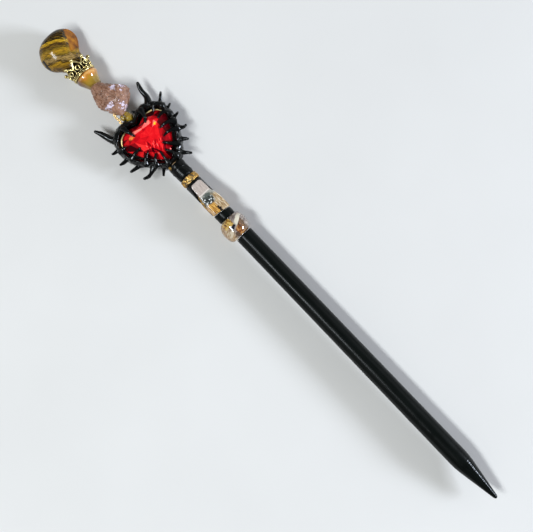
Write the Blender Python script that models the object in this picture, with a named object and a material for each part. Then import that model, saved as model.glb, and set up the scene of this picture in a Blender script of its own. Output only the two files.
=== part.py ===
"""A decorative wand: a sharpened black dowel with a handle of stones and beads threaded on pins.

Lengths are in millimetres and become metres where a mesh is made. Along the wand, a station is the
distance from the pommel's end. +X runs from the pommel to the sharpened tip, +Y is to the left of
that, +Z is up, and the wand lies on z = 0 on its pommel, its bead cap and its heart frame.
"""
import math

import bmesh
import bpy
from mathutils import Vector, noise
from mathutils.bvhtree import BVHTree

MM = 0.001
GAP = 0.3                  # clearance between pieces that meet
LENGTH = 305.0
AXIS_Z = 7.85              # height of the wand's axis above the table

# The handle was glued on slightly out of line: it drifts sideways from the shaft's end onwards
LEAN = 0.0145              # sideways drift per millimetre of the handle
LEAN_PIVOT = 70.0          # the station where the handle crosses y = 0

# Shaft and its beads
SHAFT_START = 131.4
CONE_START = 281.2
SHAFT_THIN_RADIUS = 4.46
SHAFT_THICK_RADIUS = 4.82
CONE_SHOULDER = 0.3
TIP_RADIUS = 0.9
BEAD_START = 120.9
BEAD_END = 131.1
BEAD_RADIUS = 6.9
BEAD_FLAT_RADIUS = 3.7
BEAD_TILT = 0.3
BEAD_Y = -0.6
BAND_START = 116.65        # on the axis; the band's first face is slanted
BAND_END = 120.6
END_SLANT = 0.17           # slant of the quartz point's far face and of the band that follows it
PIN_RADIUS = 0.8
BORE_RADIUS = PIN_RADIUS + GAP
SHAFT_PIN_START = 114.0
SHAFT_PIN_END = 141.0

# Quartz point, its socket and the gold leaf. Each row: station, +Y edge, edge of the flat top, -Y edge
CRYSTAL_ROWS = (
    (98.1, 2.6, -1.6, -1.9),
    (99.3, 3.8, -2.3, -2.5),
    (102.0, 3.9, -2.5, -2.8),
    (105.3, 4.0, -2.7, -3.8),
    (109.5, 5.1, -2.8, -4.4),
    (113.0, 5.2, -3.0, -4.4),
    (116.35, 5.1, -3.0, -4.2),
)
CRYSTAL_HALF_HEIGHT = 4.0
SOCKET_START = 97.0
SOCKET_END = 106.6
SOCKET_RADIUS = 4.45
SOCKET_MOUTH = (0.36, -0.05, 0.93)   # the way the slanted mouth faces
STEM_START = 93.9
STEM_RADIUS = 3.2
LEAF_ROWS = (
    (107.0, 4.5, -2.8, -4.1),
    (109.5, 5.1, -2.8, -4.4),
    (113.0, 5.2, -3.0, -4.4),
    (115.2, 5.2, -3.0, -4.4),
)
LEAF_THICKNESS = 0.35
LEAF_RING_RADIUS = 4.3

# Sleeve between the socket and the heart frame
SLEEVE_START = 84.9
SLEEVE_END = 93.3
SLEEVE_RADIUS = 4.4
TENON_RADIUS = 1.5
TENON_START = 82.9
TENON_DEPTH = 2.5

# Heart frame
FRAME_HEIGHT = 10.4
THORN_HEIGHT = 5.8
THORN_LIFT = 1.2           # how much higher a thorn's tip is than its root
CLAW_HEIGHT = 9.7
CLAW_ARCH = 1.9

# Heart gem
GEM_AXIS_Y = 0.8
GEM_LOBE_S = 64.8
GEM_LOBE_Y = 6.0
GEM_LOBE_RADIUS = 6.75
GEM_CLEFT_S = 59.8
GEM_POINT_S = 82.0
GEM_SIDE_BULGE = 1.7
GEM_CULET_S = 68.8
GIRDLE_Z = 8.1
GIRDLE_THICKNESS = 0.5
CROWN_RISE = 2.6
TABLE_Z = 12.1
PAVILION_DROP = 1.7
CULET_Z = 5.0
# The gem's inner rings are copies of its edge: a scale, and the station they shrink towards
CROWN_RING = (0.76, 66.4)
TABLE_RING = (0.56, 65.4)
PAVILION_SCALE = 0.5
FOIL_DROP = 0.35
FOIL_RIM_SCALE = 0.86
FOIL_RIM_DROP = 0.5        # the foil's rim below the gem's girdle
GEM_BED_ROWS = ((59.6, 5.4), (69.5, 5.4), (76.2, 3.2))   # station, half width

# Handle stones
PIN_START = 12.5
PIN_END = 57.5
CAP_RIM = 24.8
CAP_WALL = 0.6
CAP_PETALS = 8
CAP_Y = -0.6
CAP_RADII = ((16.5, 7.1), (18.6, 6.6), (20.8, 6.0), (22.8, 5.6), (24.3, 5.8), (CAP_RIM, 5.6))
PETAL_VALLEY = 20.7
PETAL_TIP = 17.3           # on the top and bottom petals
PETAL_SPLAY = 1.9          # the petals at the sides are bent outwards and so reach less far
PETAL_BALL_AT = 7.0
PETAL_BALL_RADIUS = 0.85
NECK_START = 25.1
NECK_END = 32.0
NECK_Y = -0.5
NECK_RADII = ((NECK_START, 5.4), (26.0, 5.7), (27.2, 5.5), (28.9, 4.6), (30.4, 3.9), (NECK_END, 3.2))
CHUNK_RAISE = 0.4
WIRE_OFFSETS = (("binding_wire_a", -4.0), ("binding_wire_b", -4.65))
WIRE_RADIUS = 0.25
DROP_SPOT = (51.5, -3.0, 0.9)   # station, y and height off the axis
DROP_RADIUS = 0.8
DROP_STRETCH = 1.6
LINK_RADII = ((51.9, 1.3), (52.5, 1.7), (53.2, 1.7), (53.9, 1.4), (54.5, 1.0))

# Each row: station, lower and upper edge in Y, half height
POMMEL_STATIONS = (
    (0.0, -3.6, 3.2, 2.2),
    (0.4, -5.6, 5.2, 3.9),
    (1.2, -7.2, 6.6, 5.4),
    (2.6, -9.0, 8.2, 6.6),
    (4.6, -10.3, 9.4, 7.5),
    (7.0, -11.4, 9.9, 7.85),
    (9.4, -11.6, 9.2, 7.8),
    (12.0, -11.0, 7.4, 7.1),
    (14.2, -9.6, 5.8, 6.2),
    (16.2, -7.4, 5.2, 5.4),
    (18.4, -6.0, 4.6, 4.8),
    (21.2, -4.6, 3.5, 4.2),
    (23.2, -3.7, 2.7, 3.2),
)
POMMEL_FACET_POINT = (3.0, 8.4, 2.4)
POMMEL_FACET_NORMAL = (0.25, 0.82, 0.51)
CHUNK_STATIONS = (
    (30.8, -1.6, 0.6, 1.2),
    (31.7, -3.3, 1.5, 3.0),
    (33.4, -4.5, 2.4, 4.3),
    (35.4, -5.2, 4.0, 5.3),
    (37.6, -5.9, 5.9, 6.1),
    (39.8, -6.4, 8.2, 6.5),
    (41.6, -6.5, 9.2, 6.6),
    (43.4, -5.6, 9.4, 6.5),
    (45.2, -4.7, 8.5, 6.2),
    (47.2, -4.0, 6.8, 5.4),
    (48.8, -3.3, 4.2, 4.4),
    (50.2, -2.2, 1.8, 3.2),
    (51.6, -1.2, 0.4, 1.6),
)
# Flat breaks on the rough stone: a point as (station, y, height off the axis) and the way it faces
CHUNK_BREAKS = (
    ((47.4, 3.0, 4.2), (0.75, 0.25, 0.6)),
    ((39.6, 8.4, 3.4), (-0.35, 0.72, 0.6)),
    ((35.9, -3.4, 5.0), (-0.35, -0.5, 0.8)),
)

# The black ring seen from above, as (station, y) of its outer edge and of its inner edge: a notched
# back, two round lobes and a blunt nose
RING = (
    (55.4, 0.7, 59.2, 0.7), (53.3, 4.4, 57.6, 3.6), (53.2, 8.6, 57.5, 7.6), (54.2, 12.0, 58.6, 10.6),
    (57.0, 14.9, 60.4, 12.5), (60.6, 16.7, 62.6, 13.7), (64.8, 17.0, 65.2, 14.0), (68.8, 15.7, 68.0, 13.2),
    (72.4, 14.4, 71.0, 12.2), (76.3, 12.0, 74.4, 9.8), (80.0, 9.6, 76.9, 6.8), (83.3, 6.6, 79.2, 4.0),
    (84.6, 3.0, 81.2, 1.8), (84.6, -2.4, 81.2, -0.8), (83.0, -5.2, 79.0, -3.2), (79.6, -7.3, 76.6, -5.2),
    (76.0, -10.5, 73.6, -8.2), (71.8, -13.7, 70.4, -10.9), (67.0, -15.3, 66.4, -12.3),
    (62.5, -15.3, 62.6, -12.5), (57.5, -13.9, 59.8, -10.8), (54.3, -11.0, 58.2, -8.2),
    (53.3, -7.0, 57.7, -5.6), (53.1, -3.0, 57.9, -2.4),
)
# Each limb is a row of (station, y, radius) points from its root in the ring to its tip
THORNS = (
    ((59.4, 14.2, 1.2), (57.2, 17.0, 0.9), (55.3, 19.2, 0.55)),
    ((62.9, 15.6, 0.9), (62.2, 18.5, 0.5)),
    ((68.1, 14.8, 1.1), (67.8, 18.3, 0.5)),
    ((72.9, 13.2, 1.2), (74.5, 15.4, 0.85), (74.8, 17.0, 0.5)),
    ((77.5, 10.2, 1.2), (79.0, 11.9, 0.9), (80.2, 13.0, 0.6)),
    ((82.2, 5.9, 1.2), (84.4, 8.0, 0.85), (86.1, 9.4, 0.6)),
    ((81.9, -2.9, 1.0), (82.6, -5.2, 0.85), (84.7, -7.4, 0.6)),
    ((78.2, -7.6, 1.1), (79.8, -11.0, 0.95), (80.2, -13.2, 0.9), (79.6, -15.1, 0.7)),
    ((73.4, -11.4, 1.1), (73.2, -14.6, 0.95), (72.9, -17.2, 0.7)),
    ((66.9, -13.6, 1.1), (67.3, -16.4, 0.95), (67.0, -18.5, 0.6)),
    ((61.1, -13.8, 1.2), (61.0, -16.2, 0.85), (60.7, -17.7, 0.55)),
    ((54.9, 5.0, 0.9), (52.6, 3.3, 0.5)),
    ((55.0, -1.9, 0.8), (52.2, -2.4, 0.45)),
)
HORNS = (
    ("horn_upper", (
        (55.6, 10.7, 2.0), (52.0, 12.9, 1.4), (48.3, 13.3, 1.15), (45.9, 14.0, 1.0), (44.6, 14.5, 0.75),
    )),
    ("horn_lower", (
        (57.2, -11.9, 2.1), (54.7, -13.4, 1.75), (52.3, -14.2, 1.55), (49.9, -14.9, 1.3),
        (47.4, -16.1, 0.75),
    )),
)
CLAWS = (
    ((61.0, 15.2, 1.0), (58.9, 14.4, 0.95), (58.6, 12.3, 0.85), (60.2, 10.3, 0.55)),
    ((66.2, 15.2, 0.95), (64.2, 14.4, 0.85), (63.6, 12.2, 0.75), (64.0, 9.8, 0.5)),
    ((70.2, 14.2, 1.0), (68.8, 12.2, 0.85), (68.1, 9.6, 0.75), (68.2, 7.4, 0.5)),
    ((73.8, 12.8, 1.0), (72.6, 10.6, 0.85), (72.0, 8.2, 0.75), (72.0, 6.0, 0.5)),
    ((79.2, 8.0, 1.0), (76.8, 5.6, 0.85), (75.2, 4.3, 0.7), (74.3, 3.4, 0.5)),
    ((82.6, 3.6, 1.0), (80.4, 3.3, 0.8), (78.6, 2.5, 0.7), (77.3, 1.8, 0.5)),
    ((82.8, -1.8, 1.0), (80.6, -1.4, 0.8), (78.4, -1.0, 0.7), (76.6, -0.8, 0.5)),
    ((79.6, -6.4, 1.0), (77.9, -5.4, 0.8), (76.6, -4.2, 0.7), (75.6, -3.1, 0.5)),
    ((75.9, -9.8, 1.0), (74.5, -8.4, 0.85), (73.3, -6.7, 0.75), (72.5, -5.2, 0.5)),
    ((69.2, -12.6, 1.0), (68.8, -10.6, 0.85), (68.6, -8.4, 0.75), (68.5, -6.5, 0.5)),
    ((63.2, -14.0, 0.9), (63.3, -12.4, 0.75), (63.4, -11.0, 0.5)),
    ((56.3, -5.6, 1.0), (58.6, -5.3, 0.95), (60.8, -4.8, 0.75), (62.8, -4.3, 0.5)),
    ((55.9, 6.4, 1.0), (58.2, 6.0, 0.9), (60.2, 5.2, 0.7), (61.6, 4.1, 0.5)),
)


def clear_scene():
    for obj in list(bpy.data.objects):
        bpy.data.objects.remove(obj, do_unlink=True)


def place(station, y, height):
    """A point of the wand in metres, from its station, its side offset and its height off the table."""
    drift = LEAN * (min(station, SHAFT_START) - LEAN_PIVOT)
    return Vector(((station - LENGTH / 2) * MM, (y + drift) * MM, height * MM))


def material(name, colour, roughness, metallic=0.0):
    made = bpy.data.materials.new(name)
    made.use_nodes = True
    shader = made.node_tree.nodes["Principled BSDF"]
    shader.inputs["Base Color"].default_value = (*colour, 1.0)
    shader.inputs["Roughness"].default_value = roughness
    shader.inputs["Metallic"].default_value = metallic
    return made


def add_object(name, mesh_data, finish=None, sharp=40):
    """Turn a bmesh into a named object with smooth faces and sharp creases."""
    bmesh.ops.recalc_face_normals(mesh_data, faces=mesh_data.faces)
    mesh = bpy.data.meshes.new(name)
    mesh_data.to_mesh(mesh)
    mesh_data.free()
    mesh.shade_smooth()
    mesh.set_sharp_from_angle(angle=math.radians(sharp))
    obj = bpy.data.objects.new(name, mesh)
    bpy.context.scene.collection.objects.link(obj)
    if finish:
        mesh.materials.append(finish)
    return obj


def carve(target, mesh_data):
    """Cut a shape out of an object with an exact Boolean, keeping the cutter as a hidden guide."""
    cutter = add_object(f"cut_{target.name}_{len(target.modifiers)}", mesh_data)
    cutter.hide_render = True
    cutter.display_type = "WIRE"
    boolean = target.modifiers.new(cutter.name, "BOOLEAN")
    boolean.operation = "DIFFERENCE"
    boolean.solver = "EXACT"
    boolean.object = cutter


def revolve(profile, sides=32, closed=True, into=None, offset=0.0):
    """Turn a profile about the wand's axis, or about a line beside it at y = offset.

    profile(angle) lists (station, radius) points. A closed profile makes a bored piece. An open one
    starts and ends on the axis.
    """
    mesh_data = into or bmesh.new()
    rings = []
    for step in range(sides):
        angle = 2 * math.pi * step / sides
        rings.append([
            place(station, offset + radius * math.cos(angle), AXIS_Z + radius * math.sin(angle))
            for station, radius in profile(angle)
        ])
    count = len(rings[0])
    verts = [[mesh_data.verts.new(point) for point in ring] for ring in rings]
    if not closed:
        for ring in verts[1:]:
            for end in (0, count - 1):
                mesh_data.verts.remove(ring[end])
                ring[end] = verts[0][end]
    for step in range(sides):
        ring, following = verts[step], verts[(step + 1) % sides]
        for index in range(count if closed else count - 1):
            after = (index + 1) % count
            corners = [ring[index], following[index], following[after], ring[after]]
            unique = list(dict.fromkeys(corners))
            mesh_data.faces.new(unique)
    return mesh_data


def turned(profile, sides=32, closed=True, into=None, offset=0.0):
    return revolve(lambda angle: profile, sides, closed, into, offset)


def pin(start, end, radius, sides=12, into=None):
    return turned(((start, 0), (start, radius), (end, radius), (end, 0)), sides, False, into)


def catmull_rom(points, per_span, closed=False):
    """A smooth curve through points, with per_span steps between each pair."""
    points = [Vector(point) for point in points]
    count = len(points)
    curve = []
    for index in range(count if closed else count - 1):
        if closed:
            p0, p1, p2, p3 = (points[(index + k) % count] for k in (-1, 0, 1, 2))
        else:
            p0, p1, p2, p3 = (points[min(max(index + k, 0), count - 1)] for k in (-1, 0, 1, 2))
        for step in range(per_span):
            t = step / per_span
            curve.append(0.5 * (
                2 * p1 + (p2 - p0) * t + (2 * p0 - 5 * p1 + 4 * p2 - p3) * t * t
                + (3 * p1 - p0 - 3 * p2 + p3) * t ** 3
            ))
    if not closed:
        curve.append(points[-1])
    return curve


def stone(stations, centre_z, per_span=2, sides=28, rough=0.0):
    """A stone lofted along the wand from its edges, with an optional rough surface."""
    mesh_data = bmesh.new()
    rows = catmull_rom(stations, per_span)
    rings = []
    for station, low, high, half_height in rows:
        middle = (low + high) / 2
        half_width = (high - low) / 2
        ring = []
        for step in range(sides):
            angle = 2 * math.pi * step / sides
            bump = 1.0
            if rough:
                spot = Vector((station, math.cos(angle) * 6, math.sin(angle) * 6)) * 0.35
                bump = 1.0 - rough * (0.5 + 0.5 * noise.noise(spot))
            y = middle + half_width * bump * math.cos(angle)
            z = centre_z + half_height * bump * math.sin(angle)
            ring.append(mesh_data.verts.new(place(station, y, z)))
        rings.append(ring)
    for ring, following in zip(rings, rings[1:]):
        for step in range(sides):
            after = (step + 1) % sides
            mesh_data.faces.new((ring[step], ring[after], following[after], following[step]))
    mesh_data.faces.new(rings[0])
    mesh_data.faces.new(rings[-1])
    return mesh_data


def slice_off(mesh_data, point, normal):
    """Cut everything beyond a plane off a convex stone and close the cut as a flat facet."""
    geometry = mesh_data.verts[:] + mesh_data.edges[:] + mesh_data.faces[:]
    cut = bmesh.ops.bisect_plane(
        mesh_data, geom=geometry, plane_co=point, plane_no=normal, clear_outer=True, dist=1e-7
    )
    edges = [item for item in cut["geom_cut"] if isinstance(item, bmesh.types.BMEdge)]
    bmesh.ops.holes_fill(mesh_data, edges=edges)


def limb_path(row, heights, per_span=3):
    """A smooth curve through a limb's points, as (point in metres, radius) pairs."""
    curve = catmull_rom(row, per_span)
    last = len(curve) - 1
    return [
        (place(spot.x, spot.y, heights(index / last)), spot.z)
        for index, spot in enumerate(curve)
    ]


def limb_mesh(path, grow=0.0, sides=8, into=None):
    """A round limb along (point, radius) pairs, with a flat root and a rounded tip."""
    mesh_data = into or bmesh.new()
    points = [point for point, _ in path]
    rings = []
    side = Vector((0, 0, 1))
    for index, (point, radius) in enumerate(path):
        ahead = points[min(index + 1, len(points) - 1)] - points[max(index - 1, 0)]
        ahead.normalize()
        across = ahead.cross(side).normalized()
        upward = across.cross(ahead)
        start = ahead * grow * MM if index == 0 else Vector()
        rings.append([
            mesh_data.verts.new(
                point - start
                + across * (radius + grow) * MM * math.cos(2 * math.pi * step / sides)
                + upward * (radius + grow) * MM * math.sin(2 * math.pi * step / sides)
            )
            for step in range(sides)
        ])
    for ring, following in zip(rings, rings[1:]):
        for step in range(sides):
            after = (step + 1) % sides
            mesh_data.faces.new((ring[step], ring[after], following[after], following[step]))
    mesh_data.faces.new(rings[0])
    tip_length = (0.7 * path[-1][1] + grow) * MM
    end = mesh_data.verts.new(points[-1] + (points[-1] - points[-2]).normalized() * tip_length)
    for step in range(sides):
        mesh_data.faces.new((rings[-1][step], rings[-1][(step + 1) % sides], end))
    return mesh_data


# ---------------------------------------------------------------- shaft, bead and band

def build_shaft(black):
    profile = (
        (SHAFT_PIN_END + GAP, 0.0), (SHAFT_PIN_END + GAP, BORE_RADIUS), (SHAFT_START, BORE_RADIUS),
        (SHAFT_START, SHAFT_THIN_RADIUS),
        (CONE_START, SHAFT_THICK_RADIUS),
        (CONE_START + 3.0, SHAFT_THICK_RADIUS - CONE_SHOULDER),
        (LENGTH - TIP_RADIUS, TIP_RADIUS),
        (LENGTH - TIP_RADIUS / 4, TIP_RADIUS / 2),
        (LENGTH, 0.0),
    )
    add_object("shaft", turned(profile, 32, closed=False), black)


def build_bead(clear):
    """A rondelle that sits a little off centre and leans, with its bore on the pin."""
    middle = (BEAD_START + BEAD_END) / 2
    half = (BEAD_END - BEAD_START) / 2

    def profile(angle):
        rim = []
        for turn in (math.pi * step / 10 for step in range(11)):
            radius = BEAD_FLAT_RADIUS + (BEAD_RADIUS - BEAD_FLAT_RADIUS) * math.sin(turn) ** 0.8
            lean = BEAD_TILT * (radius - BEAD_FLAT_RADIUS) * math.cos(angle)
            rim.append((middle - half * math.cos(turn) - lean, radius))
        return [(BEAD_START, 0.0)] + rim + [(BEAD_END, 0.0)]

    bead = add_object("clear_bead", revolve(profile, 32, closed=False, offset=BEAD_Y), clear)
    carve(bead, pin(BEAD_START - 1, BEAD_END + 1, BORE_RADIUS))


def build_band(black):
    """A black band whose first face is slanted to meet the quartz point."""
    def profile(angle):
        slant = END_SLANT * math.cos(angle)
        return (
            (BAND_START + slant * BORE_RADIUS, BORE_RADIUS),
            (BAND_START + slant * SHAFT_THIN_RADIUS, SHAFT_THIN_RADIUS),
            (BAND_END, SHAFT_THIN_RADIUS), (BAND_END, BORE_RADIUS),
        )

    add_object("spacer_band", revolve(profile, 32), black)


def build_shaft_pin(steel):
    add_object("shaft_pin", pin(SHAFT_PIN_START, SHAFT_PIN_END, PIN_RADIUS), steel)


# ---------------------------------------------------------------- quartz point and its setting

def crystal_corners(row, grow=0.0):
    """The six corners of the quartz point at one of its rows, as (station, y, height) offsets."""
    station, left, flat_edge, right = row
    top = CRYSTAL_HALF_HEIGHT + grow
    left, flat_edge, right = left + grow, flat_edge - grow, right - grow
    corners = (
        (left - 0.3, top), (left, 0.4), (left - 1.6, -top),
        (right + 1.2, -top), (right, 0.2), (flat_edge, top),
    )
    is_far_face = row == CRYSTAL_ROWS[-1]
    is_root = row == CRYSTAL_ROWS[0]
    lengthen = grow * (is_far_face - is_root)
    return [
        (station + lengthen + (END_SLANT * y if is_far_face else 0.0), y, height)
        for y, height in corners
    ]


def crystal_mesh(grow=0.0):
    """A six-sided quartz point: a narrow root, a wider body and a slanted far face."""
    mesh_data = bmesh.new()
    rings = [
        [mesh_data.verts.new(place(station, y, AXIS_Z + z)) for station, y, z in crystal_corners(row, grow)]
        for row in CRYSTAL_ROWS
    ]
    for ring, following in zip(rings, rings[1:]):
        for step in range(len(ring)):
            after = (step + 1) % len(ring)
            mesh_data.faces.new((ring[step], ring[after], following[after], following[step]))
    mesh_data.faces.new(rings[0])
    mesh_data.faces.new(rings[-1])
    return mesh_data


def build_crystal(clear):
    crystal = add_object("quartz_point", crystal_mesh(), clear, sharp=15)
    carve(crystal, pin(SHAFT_PIN_START - GAP, BAND_START + 2, BORE_RADIUS))


def build_socket(black):
    """A cup with a stem. Its mouth is cut at a slant, which leaves a tapering cheek on each side."""
    hole_end = STEM_START + TENON_DEPTH + GAP
    profile = (
        (hole_end, 0.0), (hole_end, TENON_RADIUS + GAP),
        (STEM_START, TENON_RADIUS + GAP), (STEM_START, STEM_RADIUS),
        (SOCKET_START, STEM_RADIUS), (SOCKET_START, SOCKET_RADIUS),
        (SOCKET_END, SOCKET_RADIUS), (SOCKET_END, 0.0),
    )
    mesh_data = turned(profile, 32, closed=False)
    slice_off(mesh_data, place(SOCKET_START + 0.9, 0, AXIS_Z + 3.95), Vector(SOCKET_MOUTH))
    socket = add_object("crystal_socket", mesh_data, black)
    carve(socket, crystal_mesh(GAP))


def build_leaf_bed(gold):
    """Gold leaf laid under the quartz point where it leaves the socket."""
    mesh_data = bmesh.new()
    rings = []
    for row in LEAF_ROWS:
        inner = crystal_corners(row, GAP)[1:5]
        outer = crystal_corners(row, GAP + LEAF_THICKNESS)[1:5]
        rings.append([
            mesh_data.verts.new(place(station, y, AXIS_Z + z))
            for station, y, z in inner + outer[::-1]
        ])
    for ring, following in zip(rings, rings[1:]):
        for step in range(len(ring)):
            after = (step + 1) % len(ring)
            mesh_data.faces.new((ring[step], ring[after], following[after], following[step]))
    for ring in (rings[0], rings[-1]):
        for step in range(3):
            mesh_data.faces.new((ring[step], ring[step + 1], ring[6 - step], ring[7 - step]))
    add_object("gold_leaf_bed", mesh_data, gold)


def build_leaf_ring(gold):
    start = SLEEVE_END + GAP
    end = SOCKET_START - GAP
    bore = STEM_RADIUS + GAP

    def profile(angle):
        ragged = 0.35 * noise.noise(Vector((math.cos(angle) * 3, math.sin(angle) * 3, 0)))
        return (
            (start, bore), (start, LEAF_RING_RADIUS),
            ((start + end) / 2 + ragged, LEAF_RING_RADIUS + 0.3 + 0.2 * ragged),
            (end, LEAF_RING_RADIUS), (end, bore),
        )

    add_object("gold_leaf_ring", revolve(profile, 24), gold)


def build_sleeve(black):
    """A tube of black wrap with creases that run slantwise round it."""
    def profile(angle):
        outer = []
        for step in range(9):
            station = SLEEVE_START + (SLEEVE_END - SLEEVE_START) * step / 8
            crease = 0.18 * math.sin(3 * angle + 1.3 * station)
            outer.append((station, SLEEVE_RADIUS - 0.2 + crease))
        return [(SLEEVE_START, STEM_RADIUS + GAP)] + outer + [(SLEEVE_END, STEM_RADIUS + GAP)]

    add_object("sleeve_wrap", revolve(profile, 24), black)


def build_handle_core(wood):
    """A short dowel inside the sleeve, with a tenon at each end for the frame and the socket."""
    start = SLEEVE_START + 0.1
    end = STEM_START - GAP
    profile = (
        (TENON_START, 0.0), (TENON_START, TENON_RADIUS), (start, TENON_RADIUS),
        (start, STEM_RADIUS), (end, STEM_RADIUS), (end, TENON_RADIUS),
        (STEM_START + TENON_DEPTH, TENON_RADIUS), (STEM_START + TENON_DEPTH, 0.0),
    )
    add_object("handle_core", turned(profile, 16, closed=False), wood)


# ---------------------------------------------------------------- heart gem

def heart_outline():
    """The gem's edge as (station, y) points: two round lobes that run to a point."""
    reach_s = GEM_POINT_S - GEM_LOBE_S
    distance = math.hypot(reach_s, GEM_LOBE_Y)
    last = math.pi - math.atan2(GEM_LOBE_Y, -reach_s) + math.acos(GEM_LOBE_RADIUS / distance)
    first = math.radians(200)
    half = [(GEM_CLEFT_S, 0.0)]
    for step in range(8):
        angle = first + (last - first) * step / 7
        half.append((
            GEM_LOBE_S + GEM_LOBE_RADIUS * math.cos(angle),
            GEM_LOBE_Y + GEM_LOBE_RADIUS * math.sin(angle),
        ))
    tangent_s, tangent_y = half[-1]
    for share in (0.36, 0.7):
        bulge = GEM_SIDE_BULGE * math.sin(math.pi * share)
        half.append((
            tangent_s + (GEM_POINT_S - tangent_s) * share + bulge * 0.7,
            tangent_y * (1 - share) + bulge * 0.7,
        ))
    half.append((GEM_POINT_S, 0.0))
    mirrored = [(station, -y) for station, y in half[-2:0:-1]]
    return [(station, y + GEM_AXIS_Y) for station, y in half + mirrored]


def shrunk(outline, scale, about):
    return [
        (about[0] + (station - about[0]) * scale, about[1] + (y - about[1]) * scale)
        for station, y in outline
    ]


def gem_mesh(grow=0.0):
    """A faceted heart: table, kite and star facets above the girdle, and a pavilion to a point."""
    mesh_data = bmesh.new()
    centre = (GEM_CULET_S, GEM_AXIS_Y)
    outline = shrunk(heart_outline(), 1.0 + grow / 10.0, centre)
    count = len(outline)

    def ring(points, height):
        return [mesh_data.verts.new(place(station, y, height)) for station, y in points]

    upper_girdle = ring(outline, GIRDLE_Z + GIRDLE_THICKNESS + grow)
    lower_girdle = ring(outline, GIRDLE_Z - grow)
    crown_scale, crown_s = CROWN_RING
    table_scale, table_s = TABLE_RING
    crown = ring(shrunk(outline, crown_scale, (crown_s, GEM_AXIS_Y))[1::2], GIRDLE_Z + CROWN_RISE + grow)
    table = ring(shrunk(outline, table_scale, (table_s, GEM_AXIS_Y))[0::2], TABLE_Z + grow)
    pavilion = ring(shrunk(outline, PAVILION_SCALE, centre)[1::2], GIRDLE_Z - PAVILION_DROP - grow)
    culet = mesh_data.verts.new(place(GEM_CULET_S, GEM_AXIS_Y, CULET_Z - grow))
    for step in range(count):
        after = (step + 1) % count
        mesh_data.faces.new((lower_girdle[step], lower_girdle[after], upper_girdle[after], upper_girdle[step]))
    half = count // 2
    for step in range(half):
        nxt = (step + 1) % half
        low, middle, high = 2 * step, 2 * step + 1, (2 * step + 2) % count
        mesh_data.faces.new((upper_girdle[low], upper_girdle[middle], crown[step]))
        mesh_data.faces.new((upper_girdle[middle], upper_girdle[high], crown[step]))
        mesh_data.faces.new((upper_girdle[high], crown[nxt], crown[step]))
        mesh_data.faces.new((crown[step], crown[nxt], table[nxt]))
        mesh_data.faces.new((table[step], crown[step], table[nxt]))
        mesh_data.faces.new((lower_girdle[low], pavilion[step], lower_girdle[middle]))
        mesh_data.faces.new((lower_girdle[middle], pavilion[step], lower_girdle[high]))
        mesh_data.faces.new((lower_girdle[high], pavilion[step], pavilion[nxt]))
        mesh_data.faces.new((pavilion[step], culet, pavilion[nxt]))
    mesh_data.faces.new(table)
    return mesh_data


def build_gem(red):
    return add_object("heart_gem", gem_mesh(), red, sharp=5)


def build_foil(silver):
    """A thin bright cup that follows the gem's pavilion from below."""
    mesh_data = bmesh.new()
    centre = (GEM_CULET_S, GEM_AXIS_Y)
    outline = heart_outline()
    layers = []
    for drop in (FOIL_DROP, FOIL_DROP + LEAF_THICKNESS):
        girdle = [
            mesh_data.verts.new(place(station, y, GIRDLE_Z - FOIL_RIM_DROP - drop))
            for station, y in shrunk(outline, FOIL_RIM_SCALE, centre)
        ]
        middle = [
            mesh_data.verts.new(place(station, y, GIRDLE_Z - PAVILION_DROP - drop))
            for station, y in shrunk(outline, PAVILION_SCALE, centre)
        ]
        culet = mesh_data.verts.new(place(GEM_CULET_S, GEM_AXIS_Y, CULET_Z - drop))
        layers.append((girdle, middle, culet))
    count = len(outline)
    for girdle, middle, culet in layers:
        for step in range(count):
            after = (step + 1) % count
            mesh_data.faces.new((girdle[step], girdle[after], middle[after], middle[step]))
            mesh_data.faces.new((middle[step], middle[after], culet))
    upper, lower = layers[0][0], layers[1][0]
    for step in range(count):
        after = (step + 1) % count
        mesh_data.faces.new((upper[step], upper[after], lower[after], lower[step]))
    add_object("gem_foil", mesh_data, silver, sharp=5)


def build_gem_bed(black):
    """A flat-backed bar across the frame that carries the gem; its underside rests on the table."""
    top = CULET_Z - FOIL_DROP - LEAF_THICKNESS - GAP
    mesh_data = bmesh.new()
    section = ((-0.93, 0.0), (0.93, 0.0), (1.0, 0.6), (0.9, top), (-0.9, top), (-1.0, 0.6))
    rings = [
        [
            mesh_data.verts.new(place(station, share * half_width + GEM_AXIS_Y, height))
            for share, height in section
        ]
        for station, half_width in GEM_BED_ROWS
    ]
    for ring, following in zip(rings, rings[1:]):
        for step in range(len(section)):
            after = (step + 1) % len(section)
            mesh_data.faces.new((ring[step], ring[after], following[after], following[step]))
    mesh_data.faces.new(rings[0])
    mesh_data.faces.new(rings[-1])
    add_object("gem_bed", mesh_data, black)


# ---------------------------------------------------------------- heart frame

def ring_mesh():
    """A band with a flat back and a rounded top, swept between the ring's two edges.

    The section's shares run from 0 at the inner edge to 1 at the outer edge.
    """
    section = (
        (0.15, 0.0), (0.85, 0.0), (0.98, 1.6), (1.0, 5.2), (0.95, 8.0), (0.8, 9.8),
        (0.5, FRAME_HEIGHT), (0.2, 9.8), (0.05, 8.0), (0.0, 5.2), (0.02, 1.6),
    )
    mesh_data = bmesh.new()
    rings = []
    for outer_s, outer_y, inner_s, inner_y in catmull_rom(RING, 3, closed=True):
        ring = []
        for share, height in section:
            station = inner_s + (outer_s - inner_s) * share
            ring.append(mesh_data.verts.new(place(station, inner_y + (outer_y - inner_y) * share, height)))
        rings.append(ring)
    count = len(rings)
    for index, ring in enumerate(rings):
        following = rings[(index + 1) % count]
        for step in range(len(section)):
            after = (step + 1) % len(section)
            mesh_data.faces.new((ring[step], ring[after], following[after], following[step]))
    return mesh_data


def thorn_height(share):
    return THORN_HEIGHT + THORN_LIFT * share ** 1.5


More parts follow.
